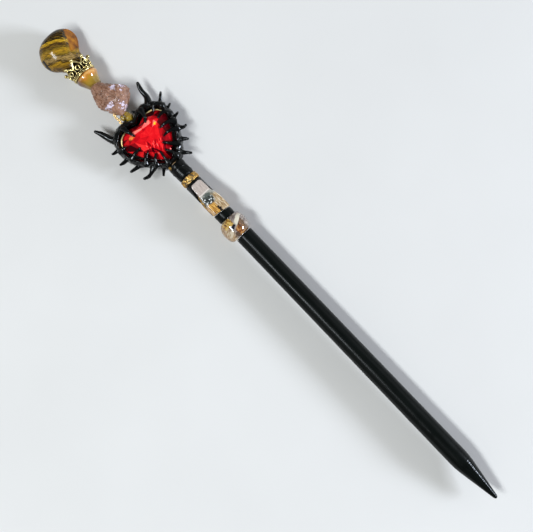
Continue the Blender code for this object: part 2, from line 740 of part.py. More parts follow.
def claw_height(share):
    return CLAW_HEIGHT + CLAW_ARCH * math.sin(math.pi * min(share * 0.9, 0.62))


def claw_path(row, gem_tree):
    """A claw climbs out of the ring's top and comes down on the gem's crown."""
    path = limb_path(row, claw_height)
    for point, radius in path:
        above = point + Vector((0, 0, 20 * MM))
        hit = gem_tree.ray_cast(above, Vector((0, 0, -1)))[0]
        if hit is not None:
            point.z = max(point.z, hit.z + (radius + 2 * GAP) * MM)
    return path


def build_frame(black, gem):
    """The ring with a socket for each thorn and claw, and the thorns and claws themselves."""
    ring = add_object("heart_frame", ring_mesh(), black)
    carve(ring, gem_mesh(GAP))
    pins = pin(PIN_END - 20, PIN_END + GAP, BORE_RADIUS)
    pin(TENON_START - GAP, TENON_START + 10, TENON_RADIUS + GAP, 12, into=pins)
    carve(ring, pins)
    surface = bmesh.new()
    surface.from_mesh(gem.data)
    gem_tree = BVHTree.FromBMesh(surface)
    surface.free()
    thorns = [(f"thorn_{index:02d}", limb_path(row, thorn_height)) for index, row in enumerate(THORNS, 1)]
    thorns += [(name, limb_path(row, thorn_height)) for name, row in HORNS]
    claws = [(f"claw_{index:02d}", claw_path(row, gem_tree)) for index, row in enumerate(CLAWS, 1)]
    for limbs in (thorns, claws):
        sockets = bmesh.new()
        for name, path in limbs:
            add_object(name, limb_mesh(path), black)
            limb_mesh(path, GAP, into=sockets)
        carve(ring, sockets)


# ---------------------------------------------------------------- handle stones

def build_pommel(stone_finish):
    """A tumbled stone with one flat face, drilled for the pin."""
    mesh_data = stone(POMMEL_STATIONS, AXIS_Z)
    station, y, lift = POMMEL_FACET_POINT
    slice_off(mesh_data, place(station, y, AXIS_Z + lift), Vector(POMMEL_FACET_NORMAL))
    pommel = add_object("pommel_stone", mesh_data, stone_finish, sharp=30)
    carve(pommel, pin(PIN_START - GAP, 30.0, BORE_RADIUS))


def cap_radius(station):
    for (s0, r0), (s1, r1) in zip(CAP_RADII, CAP_RADII[1:]):
        if station <= s1:
            return r0 + (r1 - r0) * (station - s0) / (s1 - s0)
    return CAP_RADII[-1][1]


def petal_tip(angle):
    """The station of a petal's tip. The petals on top and underneath reach furthest."""
    return PETAL_TIP + PETAL_SPLAY * math.cos(angle) ** 2


def cap_edge(angle):
    """The station where the cap's wall ends: a valley between petals, and a point on each petal."""
    spacing = 2 * math.pi / CAP_PETALS
    local = (angle - math.pi / 2 + spacing / 2) % spacing - spacing / 2
    return PETAL_VALLEY - (PETAL_VALLEY - petal_tip(angle)) * (1 - abs(local / (spacing / 2)) ** 0.9)


def build_cap(gold):
    """A crown of petals that grips the pommel stone, with a ball on each petal's tip."""
    def profile(angle):
        edge = cap_edge(angle)
        rows = [edge + (CAP_RIM - edge) * step / 5 for step in range(6)]
        outer = [(station, cap_radius(station)) for station in rows]
        inner = [(min(station, CAP_RIM - CAP_WALL), cap_radius(station) - CAP_WALL) for station in rows]
        return [(CAP_RIM - CAP_WALL, 0.0)] + inner[::-1] + outer + [(CAP_RIM, 0.0)]

    cap = add_object("bead_cap", revolve(profile, 10 * CAP_PETALS, closed=False, offset=CAP_Y), gold)
    balls = bmesh.new()
    for petal in range(CAP_PETALS):
        angle = math.pi / 2 + 2 * math.pi * petal / CAP_PETALS
        y = CAP_Y + PETAL_BALL_AT * math.cos(angle)
        centre = place(petal_tip(angle), y, AXIS_Z + PETAL_BALL_AT * math.sin(angle))
        made = bmesh.ops.create_icosphere(balls, subdivisions=1, radius=PETAL_BALL_RADIUS * MM)
        bmesh.ops.translate(balls, verts=made["verts"], vec=centre)
    balls_object = add_object("guide_cap_balls", balls)
    balls_object.hide_render = True
    balls_object.display_type = "WIRE"
    union = cap.modifiers.new("petal_balls", "BOOLEAN")
    union.operation = "UNION"
    union.solver = "EXACT"
    union.object = balls_object
    carve(cap, pin(CAP_RIM - 2, CAP_RIM + 2, BORE_RADIUS))


def build_neck(amber):
    profile = ((NECK_START, 0.0),) + NECK_RADII + ((NECK_END, 0.0),)
    neck = add_object("amber_neck", turned(profile, 32, closed=False, offset=NECK_Y), amber)
    carve(neck, pin(NECK_START - 1, NECK_END + 1, BORE_RADIUS))


def build_chunk(rose):
    """A rough lump of crystal, socketed over the neck and drilled for the pin."""
    mesh_data = stone(CHUNK_STATIONS, AXIS_Z + CHUNK_RAISE, per_span=2, sides=24, rough=0.12)
    for (station, y, lift), facing in CHUNK_BREAKS:
        slice_off(mesh_data, place(station, y, AXIS_Z + lift), Vector(facing))
    chunk = add_object("rough_quartz", mesh_data, rose, sharp=20)
    grown = tuple((station, radius + GAP) for station, radius in NECK_RADII)
    hole_end = NECK_END + GAP
    profile = ((20.0, 0.0), (20.0, 6.0)) + grown[1:-1] + ((hole_end, grown[-1][1]), (hole_end, 0.0))
    carve(chunk, turned(profile, 24, closed=False, offset=NECK_Y))
    carve(chunk, pin(30.0, 60.0, BORE_RADIUS))


def build_wires(brass):
    """Two thin wires that lie side by side from the rough stone to the frame."""
    for name, y in WIRE_OFFSETS:
        row = ((47.6, y, WIRE_RADIUS), (50.3, y + 0.05, WIRE_RADIUS), (52.9, y + 0.15, WIRE_RADIUS - 0.03))
        path = limb_path(row, lambda share: AXIS_Z + 0.2 - 0.4 * share)
        add_object(name, limb_mesh(path, sides=6), brass)


def build_amber_link(amber):
    """Lumps of amber resin on and beside the pin between the rough stone and the frame."""
    bored = ((LINK_RADII[0][0], BORE_RADIUS),) + LINK_RADII + ((LINK_RADII[-1][0], BORE_RADIUS),)
    add_object("amber_link", turned(bored, 16), amber)
    drop = bmesh.new()
    bmesh.ops.create_icosphere(drop, subdivisions=2, radius=DROP_RADIUS * MM)
    for vert in drop.verts:
        vert.co.x *= DROP_STRETCH
    station, y, lift = DROP_SPOT
    bmesh.ops.translate(drop, verts=drop.verts, vec=place(station, y, AXIS_Z + lift))
    add_object("amber_drop", drop, amber)


def build_handle_pin(steel):
    add_object("handle_pin", pin(PIN_START, PIN_END, PIN_RADIUS), steel)


def main():
    clear_scene()
    satin_black = material("satin_black", (0.008, 0.010, 0.010), 0.38)
    gloss_black = material("gloss_black", (0.006, 0.007, 0.007), 0.18)
    wrap_black = material("wrap_black", (0.010, 0.011, 0.010), 0.45)
    bare_wood = material("bare_wood", (0.45, 0.28, 0.14), 0.7)
    steel = material("steel", (0.55, 0.55, 0.56), 0.3, 1.0)
    brass = material("brass_wire", (0.62, 0.42, 0.14), 0.35, 1.0)
    antique_gold = material("antique_gold", (0.60, 0.44, 0.16), 0.38, 1.0)
    leaf_gold = material("leaf_gold", (0.55, 0.36, 0.10), 0.45, 1.0)
    silver = material("foil", (0.85, 0.82, 0.80), 0.2, 1.0)
    clear = material("clear_stone", (0.85, 0.83, 0.78), 0.08)
    red = material("red_glass", (0.75, 0.01, 0.02), 0.06)
    amber = material("amber_resin", (0.62, 0.28, 0.05), 0.15)
    rose = material("rose_quartz", (0.32, 0.17, 0.11), 0.45)
    tiger = material("tiger_eye", (0.30, 0.18, 0.04), 0.12)

    build_shaft(satin_black)
    build_shaft_pin(steel)
    build_bead(clear)
    build_band(satin_black)
    build_crystal(clear)
    build_socket(gloss_black)
    build_leaf_bed(leaf_gold)
    build_leaf_ring(leaf_gold)
    build_sleeve(wrap_black)
    build_handle_core(bare_wood)
    gem = build_gem(red)
    build_foil(silver)
    build_gem_bed(gloss_black)
    build_frame(gloss_black, gem)
    build_pommel(tiger)
    build_cap(antique_gold)
    build_neck(amber)
    build_chunk(rose)
    build_wires(brass)
    build_amber_link(amber)
    build_handle_pin(steel)


main()
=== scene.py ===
"""The looks of the wand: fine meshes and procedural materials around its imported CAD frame.

Lengths are in millimetres and become metres in place(). A station is the distance along the wand
from the pommel's end. The wand's axis runs along +X, and the heart faces up, along +Z.
"""
import math

import bmesh
import bpy
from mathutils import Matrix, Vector, noise
from mathutils.bvhtree import BVHTree


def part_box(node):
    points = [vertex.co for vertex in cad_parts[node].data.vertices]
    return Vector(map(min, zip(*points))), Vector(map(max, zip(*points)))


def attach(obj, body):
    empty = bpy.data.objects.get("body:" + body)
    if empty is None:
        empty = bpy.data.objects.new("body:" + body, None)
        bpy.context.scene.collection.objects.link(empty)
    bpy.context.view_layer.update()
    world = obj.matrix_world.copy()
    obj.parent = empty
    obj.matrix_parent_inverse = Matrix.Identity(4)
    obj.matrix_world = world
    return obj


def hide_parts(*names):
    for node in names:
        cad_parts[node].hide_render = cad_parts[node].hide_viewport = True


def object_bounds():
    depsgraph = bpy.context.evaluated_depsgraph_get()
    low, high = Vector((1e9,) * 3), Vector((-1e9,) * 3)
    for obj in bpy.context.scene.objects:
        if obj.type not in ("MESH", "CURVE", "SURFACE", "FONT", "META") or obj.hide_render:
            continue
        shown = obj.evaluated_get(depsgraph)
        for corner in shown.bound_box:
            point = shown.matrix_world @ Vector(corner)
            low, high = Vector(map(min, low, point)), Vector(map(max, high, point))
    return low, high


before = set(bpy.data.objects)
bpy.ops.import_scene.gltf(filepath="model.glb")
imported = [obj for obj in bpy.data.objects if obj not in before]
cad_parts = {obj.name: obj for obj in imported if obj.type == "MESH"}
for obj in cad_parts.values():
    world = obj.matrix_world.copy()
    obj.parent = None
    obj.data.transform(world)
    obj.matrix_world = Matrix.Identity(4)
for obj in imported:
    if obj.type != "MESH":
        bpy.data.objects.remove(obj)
cad_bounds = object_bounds()

MM = 0.001
AXIS_Z = (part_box("shaft")[0].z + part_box("shaft")[1].z) / 2 / MM
TOP = math.pi / 2                 # the angle round the axis that faces up
SHAFT_START = 131.4
LEAN = 0.0145                     # sideways drift of the crooked handle for each millimetre of it
LEAN_PIVOT = 70.0                 # the station where the handle crosses y = 0


# ================================================================ places and meshes

def drift(station):
    return LEAN * (min(station, SHAFT_START) - LEAN_PIVOT)


def place(station, y, height):
    """A point in metres from a station, a side offset and a height above the table."""
    return Vector((cad_bounds[0].x + station * MM, (y + drift(station)) * MM, height * MM))


def around(station, angle, radius, beside=0.0):
    """A point on a circle round the wand's axis or a line beside it. TOP faces up, 0 faces +Y."""
    return place(station, beside + radius * math.cos(angle), AXIS_Z + radius * math.sin(angle))


def plan(point):
    """The station and side offset of a point given in metres."""
    station = (point.x - cad_bounds[0].x) / MM
    return station, point.y / MM - drift(station)


def span(node):
    """The stations where a CAD node starts and ends."""
    low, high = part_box(node)
    return (low.x - cad_bounds[0].x) / MM, (high.x - cad_bounds[0].x) / MM


def smooth_noise(x, y=0.0, z=0.0):
    return noise.noise(Vector((x, y, z)))


def round_noise(x, angle, spread=1.0):
    """Noise that has no seam round the axis. A larger spread makes its lumps narrower."""
    return smooth_noise(x, spread * math.cos(angle), spread * math.sin(angle))


def finish_mesh(name, bm, material, nodes=(), sharp=40):
    """Make a bmesh into a piece that rides on the wand and stands for its CAD nodes."""
    bmesh.ops.recalc_face_normals(bm, faces=bm.faces)
    mesh = bpy.data.meshes.new(name)
    bm.to_mesh(mesh)
    bm.free()
    mesh.shade_smooth()
    mesh.set_sharp_from_angle(angle=math.radians(sharp))
    mesh.materials.append(material)
    piece = bpy.data.objects.new(name, mesh)
    bpy.context.scene.collection.objects.link(piece)
    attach(piece, "root")
    if nodes:
        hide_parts(*nodes)
    return piece


def turns(sides):
    """Evenly spaced angles round a full turn."""
    return [2 * math.pi * step / sides for step in range(sides)]


def skin(bm, rings, closed_rings=True, loop=False):
    """Join rings of vertices with quads, and join the last ring to the first when loop is set."""
    count = len(rings)
    for index in range(count if loop else count - 1):
        ring, following = rings[index], rings[(index + 1) % count]
        size = len(ring)
        for step in range(size if closed_rings else size - 1):
            after = (step + 1) % size
            bm.faces.new((ring[step], ring[after], following[after], following[step]))


def loft(rings, into=None, loop=False, fans=False):
    """Skin over rings of points. Without loop, each end is closed with one face or with a fan."""
    bm = into or bmesh.new()
    rings = [[bm.verts.new(point) for point in ring] for ring in rings]
    skin(bm, rings, loop=loop)
    for ring in () if loop else (rings[0], rings[-1]):
        if fans:
            size = len(ring)
            hub = bm.verts.new(sum((vert.co for vert in ring), Vector()) / size)
            for step in range(size):
                bm.faces.new((ring[step], ring[(step + 1) % size], hub))
        else:
            bm.faces.new(ring)
    return bm


def lathe(rows, sides, shift=None, bored=False, beside=0.0, slant=None):
    """Turn (station, radius) rows round the axis, or round a line beside it.

    shift(station, angle, radius) moves the surface out and slant moves it along the wand. A bored
    piece joins its last row to its first. Any other is closed with a fan at each end.
    """
    def spot(station, radius, angle):
        grown = radius + (shift(station, angle, radius) if shift else 0.0)
        moved = station + (slant(station, angle, radius) if slant else 0.0)
        return around(moved, angle, grown, beside)

    rings = [[spot(*row, angle) for angle in turns(sides)] for row in rows]
    return loft(rings, loop=bored, fans=True)


def with_bore(rows, bore):
    """Rows for lathe() with a bore through them."""
    return [(rows[0][0], bore)] + rows + [(rows[-1][0], bore)]


def catmull_rom(points, per_span, closed=False):
    """A smooth curve through points, with per_span steps between each pair."""
    points = [Vector(point) for point in points]
    count = len(points)

    def point_at(index):
        return points[index % count if closed else min(max(index, 0), count - 1)]

    curve = []
    for index in range(count if closed else count - 1):
        p0, p1, p2, p3 = (point_at(index + k) for k in (-1, 0, 1, 2))
        for step in range(per_span):
            t = step / per_span
            curve.append(0.5 * (
                2 * p1 + (p2 - p0) * t + (2 * p0 - 5 * p1 + 4 * p2 - p3) * t * t
                + (3 * p1 - p0 - 3 * p2 + p3) * t ** 3
            ))
    if not closed:
        curve.append(points[-1])
    return curve


def sweep(path, radius_at, sides, into=None, closed=False):
    """A round limb along a path in metres. radius_at(share, angle) is in millimetres."""
    count = len(path)
    last = count - 1
    rings = []
    for index, point in enumerate(path):
        if closed:
            ahead = path[(index + 1) % count] - path[index - 1]
        else:
            ahead = path[min(index + 1, last)] - path[max(index - 1, 0)]
        ahead.normalize()
        across = ahead.cross(Vector((0, 0, 1)))
        if across.length < 0.05:
            across = ahead.cross(Vector((0, 1, 0)))
        across.normalize()
        upward = across.cross(ahead)
        ring = []
        for angle in turns(sides):
            radius = radius_at(index / last, angle) * MM
            outward = across * radius * math.cos(angle)
            ring.append(point + outward + upward * radius * math.sin(angle))
        rings.append(ring)
    return loft(rings, into, loop=closed)


def add_ball(bm, centre, radius, detail):
    made = bmesh.ops.create_icosphere(bm, subdivisions=detail, radius=radius * MM)
    bmesh.ops.translate(bm, verts=made["verts"], vec=centre)
    return made["verts"]


def slice_off(bm, point, normal):
    """Cut everything beyond a plane off a solid and close the cut with a flat facet."""
    geometry = bm.verts[:] + bm.edges[:] + bm.faces[:]
    cut = bmesh.ops.bisect_plane(
        bm, geom=geometry, plane_co=point, plane_no=normal, clear_outer=True, dist=1e-7
    )
    edges = [item for item in cut["geom_cut"] if isinstance(item, bmesh.types.BMEdge)]
    bmesh.ops.holes_fill(bm, edges=edges)


def flatten(bm, point, normal):
    """Press everything beyond a plane down onto it, which leaves a flat facet."""
    normal = Vector(normal).normalized()
    for vert in bm.verts:
        beyond = (vert.co - point).dot(normal)
        if beyond > 0:
            vert.co -= normal * beyond


# ================================================================ materials

class Look:
    """A Principled material, with short calls for the nodes that feed it."""

    def __init__(self, name, roughness=0.4, metallic=0.0, **fixed):
        self.material = bpy.data.materials.new(name)
        self.material.use_nodes = True
        self.tree = self.material.node_tree
        self.shader = self.tree.nodes["Principled BSDF"]
        self.vary("Roughness", roughness).vary("Metallic", metallic)
        for socket, value in fixed.items():
            self.vary(socket.replace("_", " "), value)
        self.here = self.add("TexCoord").outputs["Object"]

    def add(self, kind, sockets=(), **settings):
        """A shader node with these settings, and values or links for its input sockets."""
        node = self.tree.nodes.new("ShaderNode" + kind)
        for key, value in settings.items():
            setattr(node, key, value)
        for socket, source in dict(sockets).items():
            self.feed(node.inputs[socket], source)
        return node

    def feed(self, socket, source):
        """Link a socket to another node's output, or set it to a number, a vector or a colour."""
        if isinstance(source, bpy.types.NodeSocket):
            self.tree.links.new(source, socket)
        elif socket.type == "RGBA":
            socket.default_value = (*source[:3], 1.0)
        else:
            socket.default_value = source

    def stretched(self, lengths, turn=0.0):
        """Coordinates for grain. Its features have these lengths in mm, on axes turned round Z."""
        scale, rotation = [length * MM for length in lengths], (0, 0, math.radians(turn))
        sockets = {"Vector": self.here, "Scale": scale, "Rotation": rotation}
        return self.add("Mapping", sockets, vector_type="TEXTURE").outputs["Vector"]

    def noise(self, scale, detail=4.0, rough=0.55, distortion=0.0, where=None):
        return self.add("TexNoise", {
            "Vector": where or self.here, "Scale": scale, "Detail": detail, "Roughness": rough,
            "Distortion": distortion,
        }).outputs["Fac"]

    def cells(self, scale, output="Distance"):
        return self.add("TexVoronoi", {"Vector": self.here, "Scale": scale}).outputs[output]

    def math(self, operation, a, b=0.0, clamp=False):
        return self.add("Math", {0: a, 1: b}, operation=operation, use_clamp=clamp).outputs[0]

    def plus(self, a, b):
        return self.math("ADD", a, b)

    def times(self, a, b, clamp=False):
        return self.math("MULTIPLY", a, b, clamp)

    def rescale(self, source, low, high, to_low=0.0, to_high=1.0):
        return self.add("MapRange", {
            "Value": source, "From Min": low, "From Max": high, "To Min": to_low,
            "To Max": to_high,
        }).outputs["Result"]

    def sway(self, source, low, high):
        """Noise, most of which lies between 0.3 and 0.7, rescaled to run from low to high."""
        return self.rescale(source, 0.3, 0.7, low, high)

    def ramp(self, source, *stops):
        """A colour ramp from (place, colour) stops."""
        node = self.add("ValToRGB", {"Fac": source})
        elements = node.color_ramp.elements
        while len(elements) < len(stops):
            elements.new(0.5)
        for element, (position, colour) in zip(elements, stops):
            element.position = position
            element.color = (*colour, 1.0)
        return node.outputs["Color"]

    def mix(self, share, a, b):
        sockets = {"Factor": share, "A": a, "B": b}
        return self.add("Mix", sockets, data_type="RGBA").outputs["Result"]

    def position(self, axis):
        """One coordinate in millimetres: a station for X, or the distance from the axis for Y."""
        split = self.add("SeparateXYZ", {0: self.here})
        shift = -cad_bounds[0].x / MM if axis == "X" else 0.0
        return self.plus(self.times(split.outputs[axis], 1 / MM), shift)

    def along(self, direction, offset=0.0):
        """The distance in millimetres along a direction, measured from station 0 on the axis."""
        facing = Vector(direction).normalized()
        node = self.add("VectorMath", {0: self.here, 1: facing / MM}, operation="DOT_PRODUCT")
        return self.plus(node.outputs["Value"], offset - place(0, 0, AXIS_Z).dot(facing) / MM)

    def spot(self, station, y, reach, warp=0.0, soft=0.35):
        """1 inside an upright pillar round a place in plan, falling to 0 at its reach in mm."""
        flat = self.add("VectorMath", {0: self.here, 1: (1, 1, 0)}, operation="MULTIPLY")
        ends = {0: flat.outputs["Vector"], 1: place(station, y, 0)}
        gap = self.add("VectorMath", ends, operation="DISTANCE")
        distance = self.plus(self.times(gap.outputs["Value"], 1 / MM), warp)
        return self.rescale(distance, reach, reach * (1 - soft))

    def band(self, source, centre, half_width, soft=0.3):
        """1 where a value lies within half_width of the centre, falling to 0 just outside it."""
        away = self.math("ABSOLUTE", self.math("SUBTRACT", source, centre))
        return self.rescale(away, half_width + soft, half_width)

    def paint(self, below, *layers):
        """Lay (mask, colour) layers one over another."""
        for mask, colour in layers:
            below = self.mix(mask, below, colour)
        return below

    def vary(self, socket, source):
        self.feed(self.shader.inputs[socket], source)
        return self

    def colour(self, source):
        return self.vary("Base Color", source)

    def bump(self, height, strength, distance):
        """distance is in millimetres."""
        sockets = {"Height": height, "Strength": strength, "Distance": distance * MM}
        return self.vary("Normal", self.add("Bump", sockets).outputs["Normal"])


def rgb(red, green, blue):
    """A linear colour from the usual 0 to 255 display values."""
    return tuple(
        value / 3294.6 if value <= 10 else ((value / 255 + 0.055) / 1.055) ** 2.4
        for value in (red, green, blue)
    )


def painted_black():
    """Satin black paint over turned wood, with faint grain and a slightly patchy sheen."""
    look = Look("painted_black", Specular_IOR_Level=0.11)
    grain = look.noise(1.0, 6, where=look.stretched((16, 0.5, 0.5)))
    patches = look.noise(120, 3)
    look.colour(look.ramp(grain, (0.3, rgb(5, 7, 6)), (0.75, rgb(13, 17, 15))))
    satin = look.sway(patches, 0.20, 0.32)
    on_cone = look.rescale(look.position("X"), CONE_START - 0.5, CONE_START + 1.0)
    glossier = look.math("SUBTRACT", 1.0, look.times(on_cone, 0.45))
    look.vary("Roughness", look.times(satin, glossier))
    speckle = look.noise(2600, 3)
    return look.bump(look.mix(0.5, grain, speckle), 0.25, 0.05).material


def gloss_black():
    """Wet-looking black clay with soft uneven waves."""
    look = Look("gloss_black", Specular_IOR_Level=0.3)
    waves = look.noise(420, 3)
    look.colour(look.ramp(waves, (0.3, rgb(3, 4, 4)), (0.7, rgb(9, 11, 11))))
    look.vary("Roughness", look.sway(waves, 0.07, 0.14))
    return look.bump(look.noise(800, 2), 0.5, 0.2).material


def wrap_black():
    """Thin black wrap with creases."""
    look = Look("wrap_black", Specular_IOR_Level=0.16)
    creases = look.noise(1.0, 5, distortion=1.2, where=look.stretched((3.2, 1.3, 1.3), 30))
    look.colour(look.ramp(creases, (0.3, rgb(3, 4, 4)), (0.7, rgb(11, 13, 12))))
    look.vary("Roughness", look.sway(creases, 0.16, 0.3))
    return look.bump(creases, 0.45, 0.2).material


def bare_wood():
    look = Look("bare_wood", 0.7)
    grain = look.noise(1.0, 6, where=look.stretched((12, 0.6, 0.6)))
    look.colour(look.ramp(grain, (0.3, rgb(155, 120, 85)), (0.7, rgb(195, 160, 115))))
    return look.bump(grain, 0.4, 0.05).material


def metal(name, dark, light, roughness, strength=0.3):
    look = Look(name, roughness, 1.0)
    tone = look.noise(900, 4)
    look.colour(look.ramp(tone, (0.3, dark), (0.65, light)))
    look.vary("Roughness", look.sway(tone, roughness * 0.8, roughness * 1.4))
    return look.bump(look.noise(1800, 3), strength, 0.06).material


def gold_leaf():
    """Crumpled gold leaf, worn through to the dark adhesive under it in places."""
    look = Look("gold_leaf", 0.35, 1.0)
    folds = look.cells(900)
    worn = look.noise(650, 5, 0.6)
    gold = look.ramp(
        look.cells(1300), (0.0, rgb(140, 92, 34)), (0.5, rgb(196, 146, 62)),
        (0.8, rgb(214, 184, 116)),
    )
    bare = look.rescale(worn, 0.42, 0.5)
    look.colour(look.mix(bare, rgb(70, 56, 34), gold))
    look.vary("Metallic", look.rescale(worn, 0.42, 0.5, 0.2, 0.8))
    look.vary("Roughness", look.rescale(folds, 0.0, 0.7, 0.2, 0.5))
    return look.bump(look.plus(folds, worn), 0.9, 0.3).material


def red_glass():
    """Foil-backed red glass. Each facet's red is painted lighter or darker, as painted light and
    shade for the foil's light seen through it.
    """
    look = Look(
        "red_glass", 0.06, Specular_IOR_Level=0.3, Specular_Tint=(1.0, 0.16, 0.14, 1.0), IOR=1.5,
    )
    # The painted light and shade of each facet
    facet = look.add("Attribute", attribute_name="facet")
    streaks = look.noise(300, 3, distortion=0.8)
    tone = look.plus(facet.outputs["Fac"], look.sway(streaks, -0.08, 0.08))
    # Painted reflections and painted shade: the foil throws back a pale strip beside the cleft,
    # and bright and dark rays near the point
    station, side = look.position("X"), look.position("Y")
    strip = look.band(look.math("SUBTRACT", station, look.times(side, 0.12)), 61.95, 0.8, 0.25)
    strip = look.times(strip, look.band(side, 0.5, 5.0, 0.6))
    near_point = look.rescale(look.along((0.894, -0.447, 0.0)), 61.3, 62.6)
    near_point = look.times(near_point, look.band(side, 0.2, 3.4, 1.2))
    near_point = look.times(near_point, look.rescale(station, 77.6, 76.2))
    rays = look.noise(1.0, 3, where=look.stretched((4.2, 0.9, 1.2), -24))
    tone = look.plus(tone, look.times(strip, 0.5))
    tone = look.plus(tone, look.times(near_point, look.rescale(rays, 0.36, 0.66, -0.4, 0.4)))
    body = look.ramp(
        look.times(tone, 0.625, clamp=True), (0.0, rgb(42, 0, 6)), (0.15, rgb(95, 2, 14)),
        (0.30, rgb(165, 8, 20)), (0.48, rgb(226, 22, 30)), (0.60, rgb(246, 50, 48)),
        (0.74, rgb(250, 116, 108)), (0.90, rgb(255, 160, 120)), (1.0, rgb(255, 200, 140)),
    )
    # Painted glints: a gold one and an orange one, where the foil behind the glass throws light
    # back
    ragged = look.sway(look.noise(700, 3), -0.7, 0.7)
    look.colour(look.paint(
        body,
        (look.spot(64.6, 7.0, 0.9, ragged, 0.6), rgb(255, 206, 40)),
        (look.spot(62.5, -6.0, 1.2, ragged, 0.6), rgb(255, 140, 60)),
    ))
    return look.material


def amber_resin():
    """Honey-coloured resin: orange next to the cap, olive yellow further on. A pale band near the
    cap is a painted highlight, and the -Y side is darkened as painted shade.
    """
    look = Look(
        "amber_resin", 0.12, Coat_Weight=1.0, Coat_Roughness=0.04, Transmission_Weight=0.2,
        IOR=1.5,
    )
    swirl = look.noise(260, 4, distortion=1.0)
    station = look.plus(look.position("X"), look.sway(swirl, -0.9, 0.9))
    # The pale stop in this ramp, near the cap, is a painted highlight
    body = look.ramp(
        look.rescale(station, 24.5, 33.0), (0.0, rgb(150, 84, 22)), (0.12, rgb(214, 140, 52)),
        (0.2, rgb(240, 184, 104)), (0.32, rgb(196, 124, 40)), (0.42, rgb(176, 128, 30)),
        (0.62, rgb(158, 126, 34)), (1.0, rgb(120, 92, 32)),
    )
    # Painted shade: darker towards the -Y side
    lower = look.rescale(look.position("Y"), -6.2, -3.2)
    look.colour(look.mix(lower, rgb(84, 46, 16), body))
    return look.bump(look.noise(500, 3), 0.15, 0.1).material


def yellow_resin():
    look = Look(
        "yellow_resin", 0.15, Coat_Weight=1.0, Coat_Roughness=0.05, Transmission_Weight=0.3,
        IOR=1.5,
    )
    swirl = look.noise(500, 4, distortion=1.0)
    look.colour(look.ramp(swirl, (0.3, rgb(128, 98, 24)), (0.6, rgb(186, 152, 44))))
    return look.bump(look.noise(900, 3), 0.3, 0.1).material


def tiger_eye():
    """Tumbled tiger's eye: slanting bands of dark brown and gold, with one orange face."""
    look = Look("tiger_eye", 0.12, Specular_IOR_Level=0.24)
    warp = look.noise(150, 4, distortion=0.5)
    fibre = look.noise(1.0, 5, where=look.stretched((5.0, 0.32, 1.4), 61))
    hair = look.noise(1.0, 3, where=look.stretched((3.0, 0.16, 0.8), 61))
    t = look.plus(look.along((0.88, -0.48, 0.05)), look.sway(warp, -0.7, 0.7))
    t = look.plus(t, look.sway(fibre, -0.8, 0.8))
    olive_black, dark, brown = rgb(26, 23, 13), rgb(42, 29, 14), rgb(80, 56, 26)
    olive, gold = rgb(112, 90, 24), rgb(170, 128, 30)
    bright, tan = rgb(214, 168, 40), rgb(150, 122, 72)
    bands = look.ramp(
        look.rescale(t, -8.0, 24.0), (0.0, brown), (0.17, dark), (0.25, olive_black), (0.31, dark),
        (0.35, olive_black), (0.392, olive_black), (0.400, bright), (0.436, gold), (0.444, dark),
        (0.485, brown), (0.493, olive), (0.505, brown), (0.522, olive), (0.565, gold),
        (0.61, olive), (0.626, dark), (0.636, tan), (0.68, tan), (0.692, dark), (0.708, dark),
        (0.718, gold), (0.80, brown), (0.88, gold), (1.0, brown),
    )
    streaked = look.paint(
        bands,
        (look.rescale(hair, 0.52, 0.57, 0.0, 0.75), dark),
        (look.rescale(hair, 0.45, 0.38, 0.0, 0.5), gold),
    )
    ragged = look.sway(warp, -0.6, 0.6)
    face = look.rescale(look.plus(look.along(ORANGE_FACE, -ORANGE_EDGE), ragged), -0.1, 0.25)
    face = look.times(face, look.rescale(look.plus(look.position("X"), ragged), 14.2, 13.0))
    orange = look.ramp(
        look.noise(260, 4), (0.34, rgb(84, 44, 0)), (0.5, rgb(134, 76, 0)),
        (0.66, rgb(170, 108, 8)),
    )
    # Painted shadow: the stone is darkened where the cap's petals shade it, and along a short line
    # at its lower edge
    shaded_by_cap = look.rescale(look.plus(look.position("X"), look.sway(warp, -0.8, 0.8)), 17.4, 18.8)
    rim = look.band(look.plus(look.position("Y"), ragged), -11.2, 0.35, 0.3)
    rim = look.times(rim, look.band(look.position("X"), 10.8, 3.0, 0.8))
    # Painted shadows, under the cap's petals and along the stone's lower edge
    painted_shadows = (rim, rgb(20, 14, 8)), (shaded_by_cap, rgb(22, 19, 13))
    look.colour(look.paint(streaked, (face, orange), *painted_shadows))
    look.vary("Roughness", look.sway(warp, 0.08, 0.2))
    return look.bump(look.noise(90, 2), 0.08, 0.2).material


def raw_crystal():
    """Raw smoky rose crystal: warm brown and finely grained, with lavender-white sparkle painted
    on as highlights.
    """
    look = Look("raw_crystal", 0.4, Coat_Weight=0.4, Coat_Roughness=0.1, IOR=1.54)
    grain = look.noise(1.0, 6, 0.7, distortion=0.8, where=look.stretched((1.3, 0.6, 0.7), 25))
    tone = look.noise(260, 4, 0.6)
    body = look.ramp(
        look.mix(0.6, tone, grain), (0.34, rgb(84, 52, 36)), (0.47, rgb(136, 94, 70)),
        (0.6, rgb(168, 124, 98)), (0.7, rgb(206, 172, 152)),
    )
    # Painted highlights: lavender-white sparkle, strongest round a few given places
    warp = look.sway(look.noise(420, 4), -1.6, 1.6)
    sparkling = look.spot(48.2, 2.2, 2.6, warp, 0.7)
    for station, y, reach in ((44.8, -3.0, 1.9), (41.2, 7.4, 2.2), (39.5, 4.6, 1.5)):
        sparkling = look.math("MAXIMUM", sparkling, look.spot(station, y, reach, warp, 0.7))
    glint = look.plus(look.cells(1500, "Color"), look.rescale(sparkling, 0.0, 1.0, -0.45, 0.25))
    share = look.rescale(glint, 0.52, 0.68)
    look.colour(look.mix(share, body, rgb(222, 208, 224)))
    look.vary("Roughness", look.rescale(share, 0.0, 1.0, 0.42, 0.12))
    return look.bump(look.plus(grain, look.cells(1500)), 0.8, 0.25).material


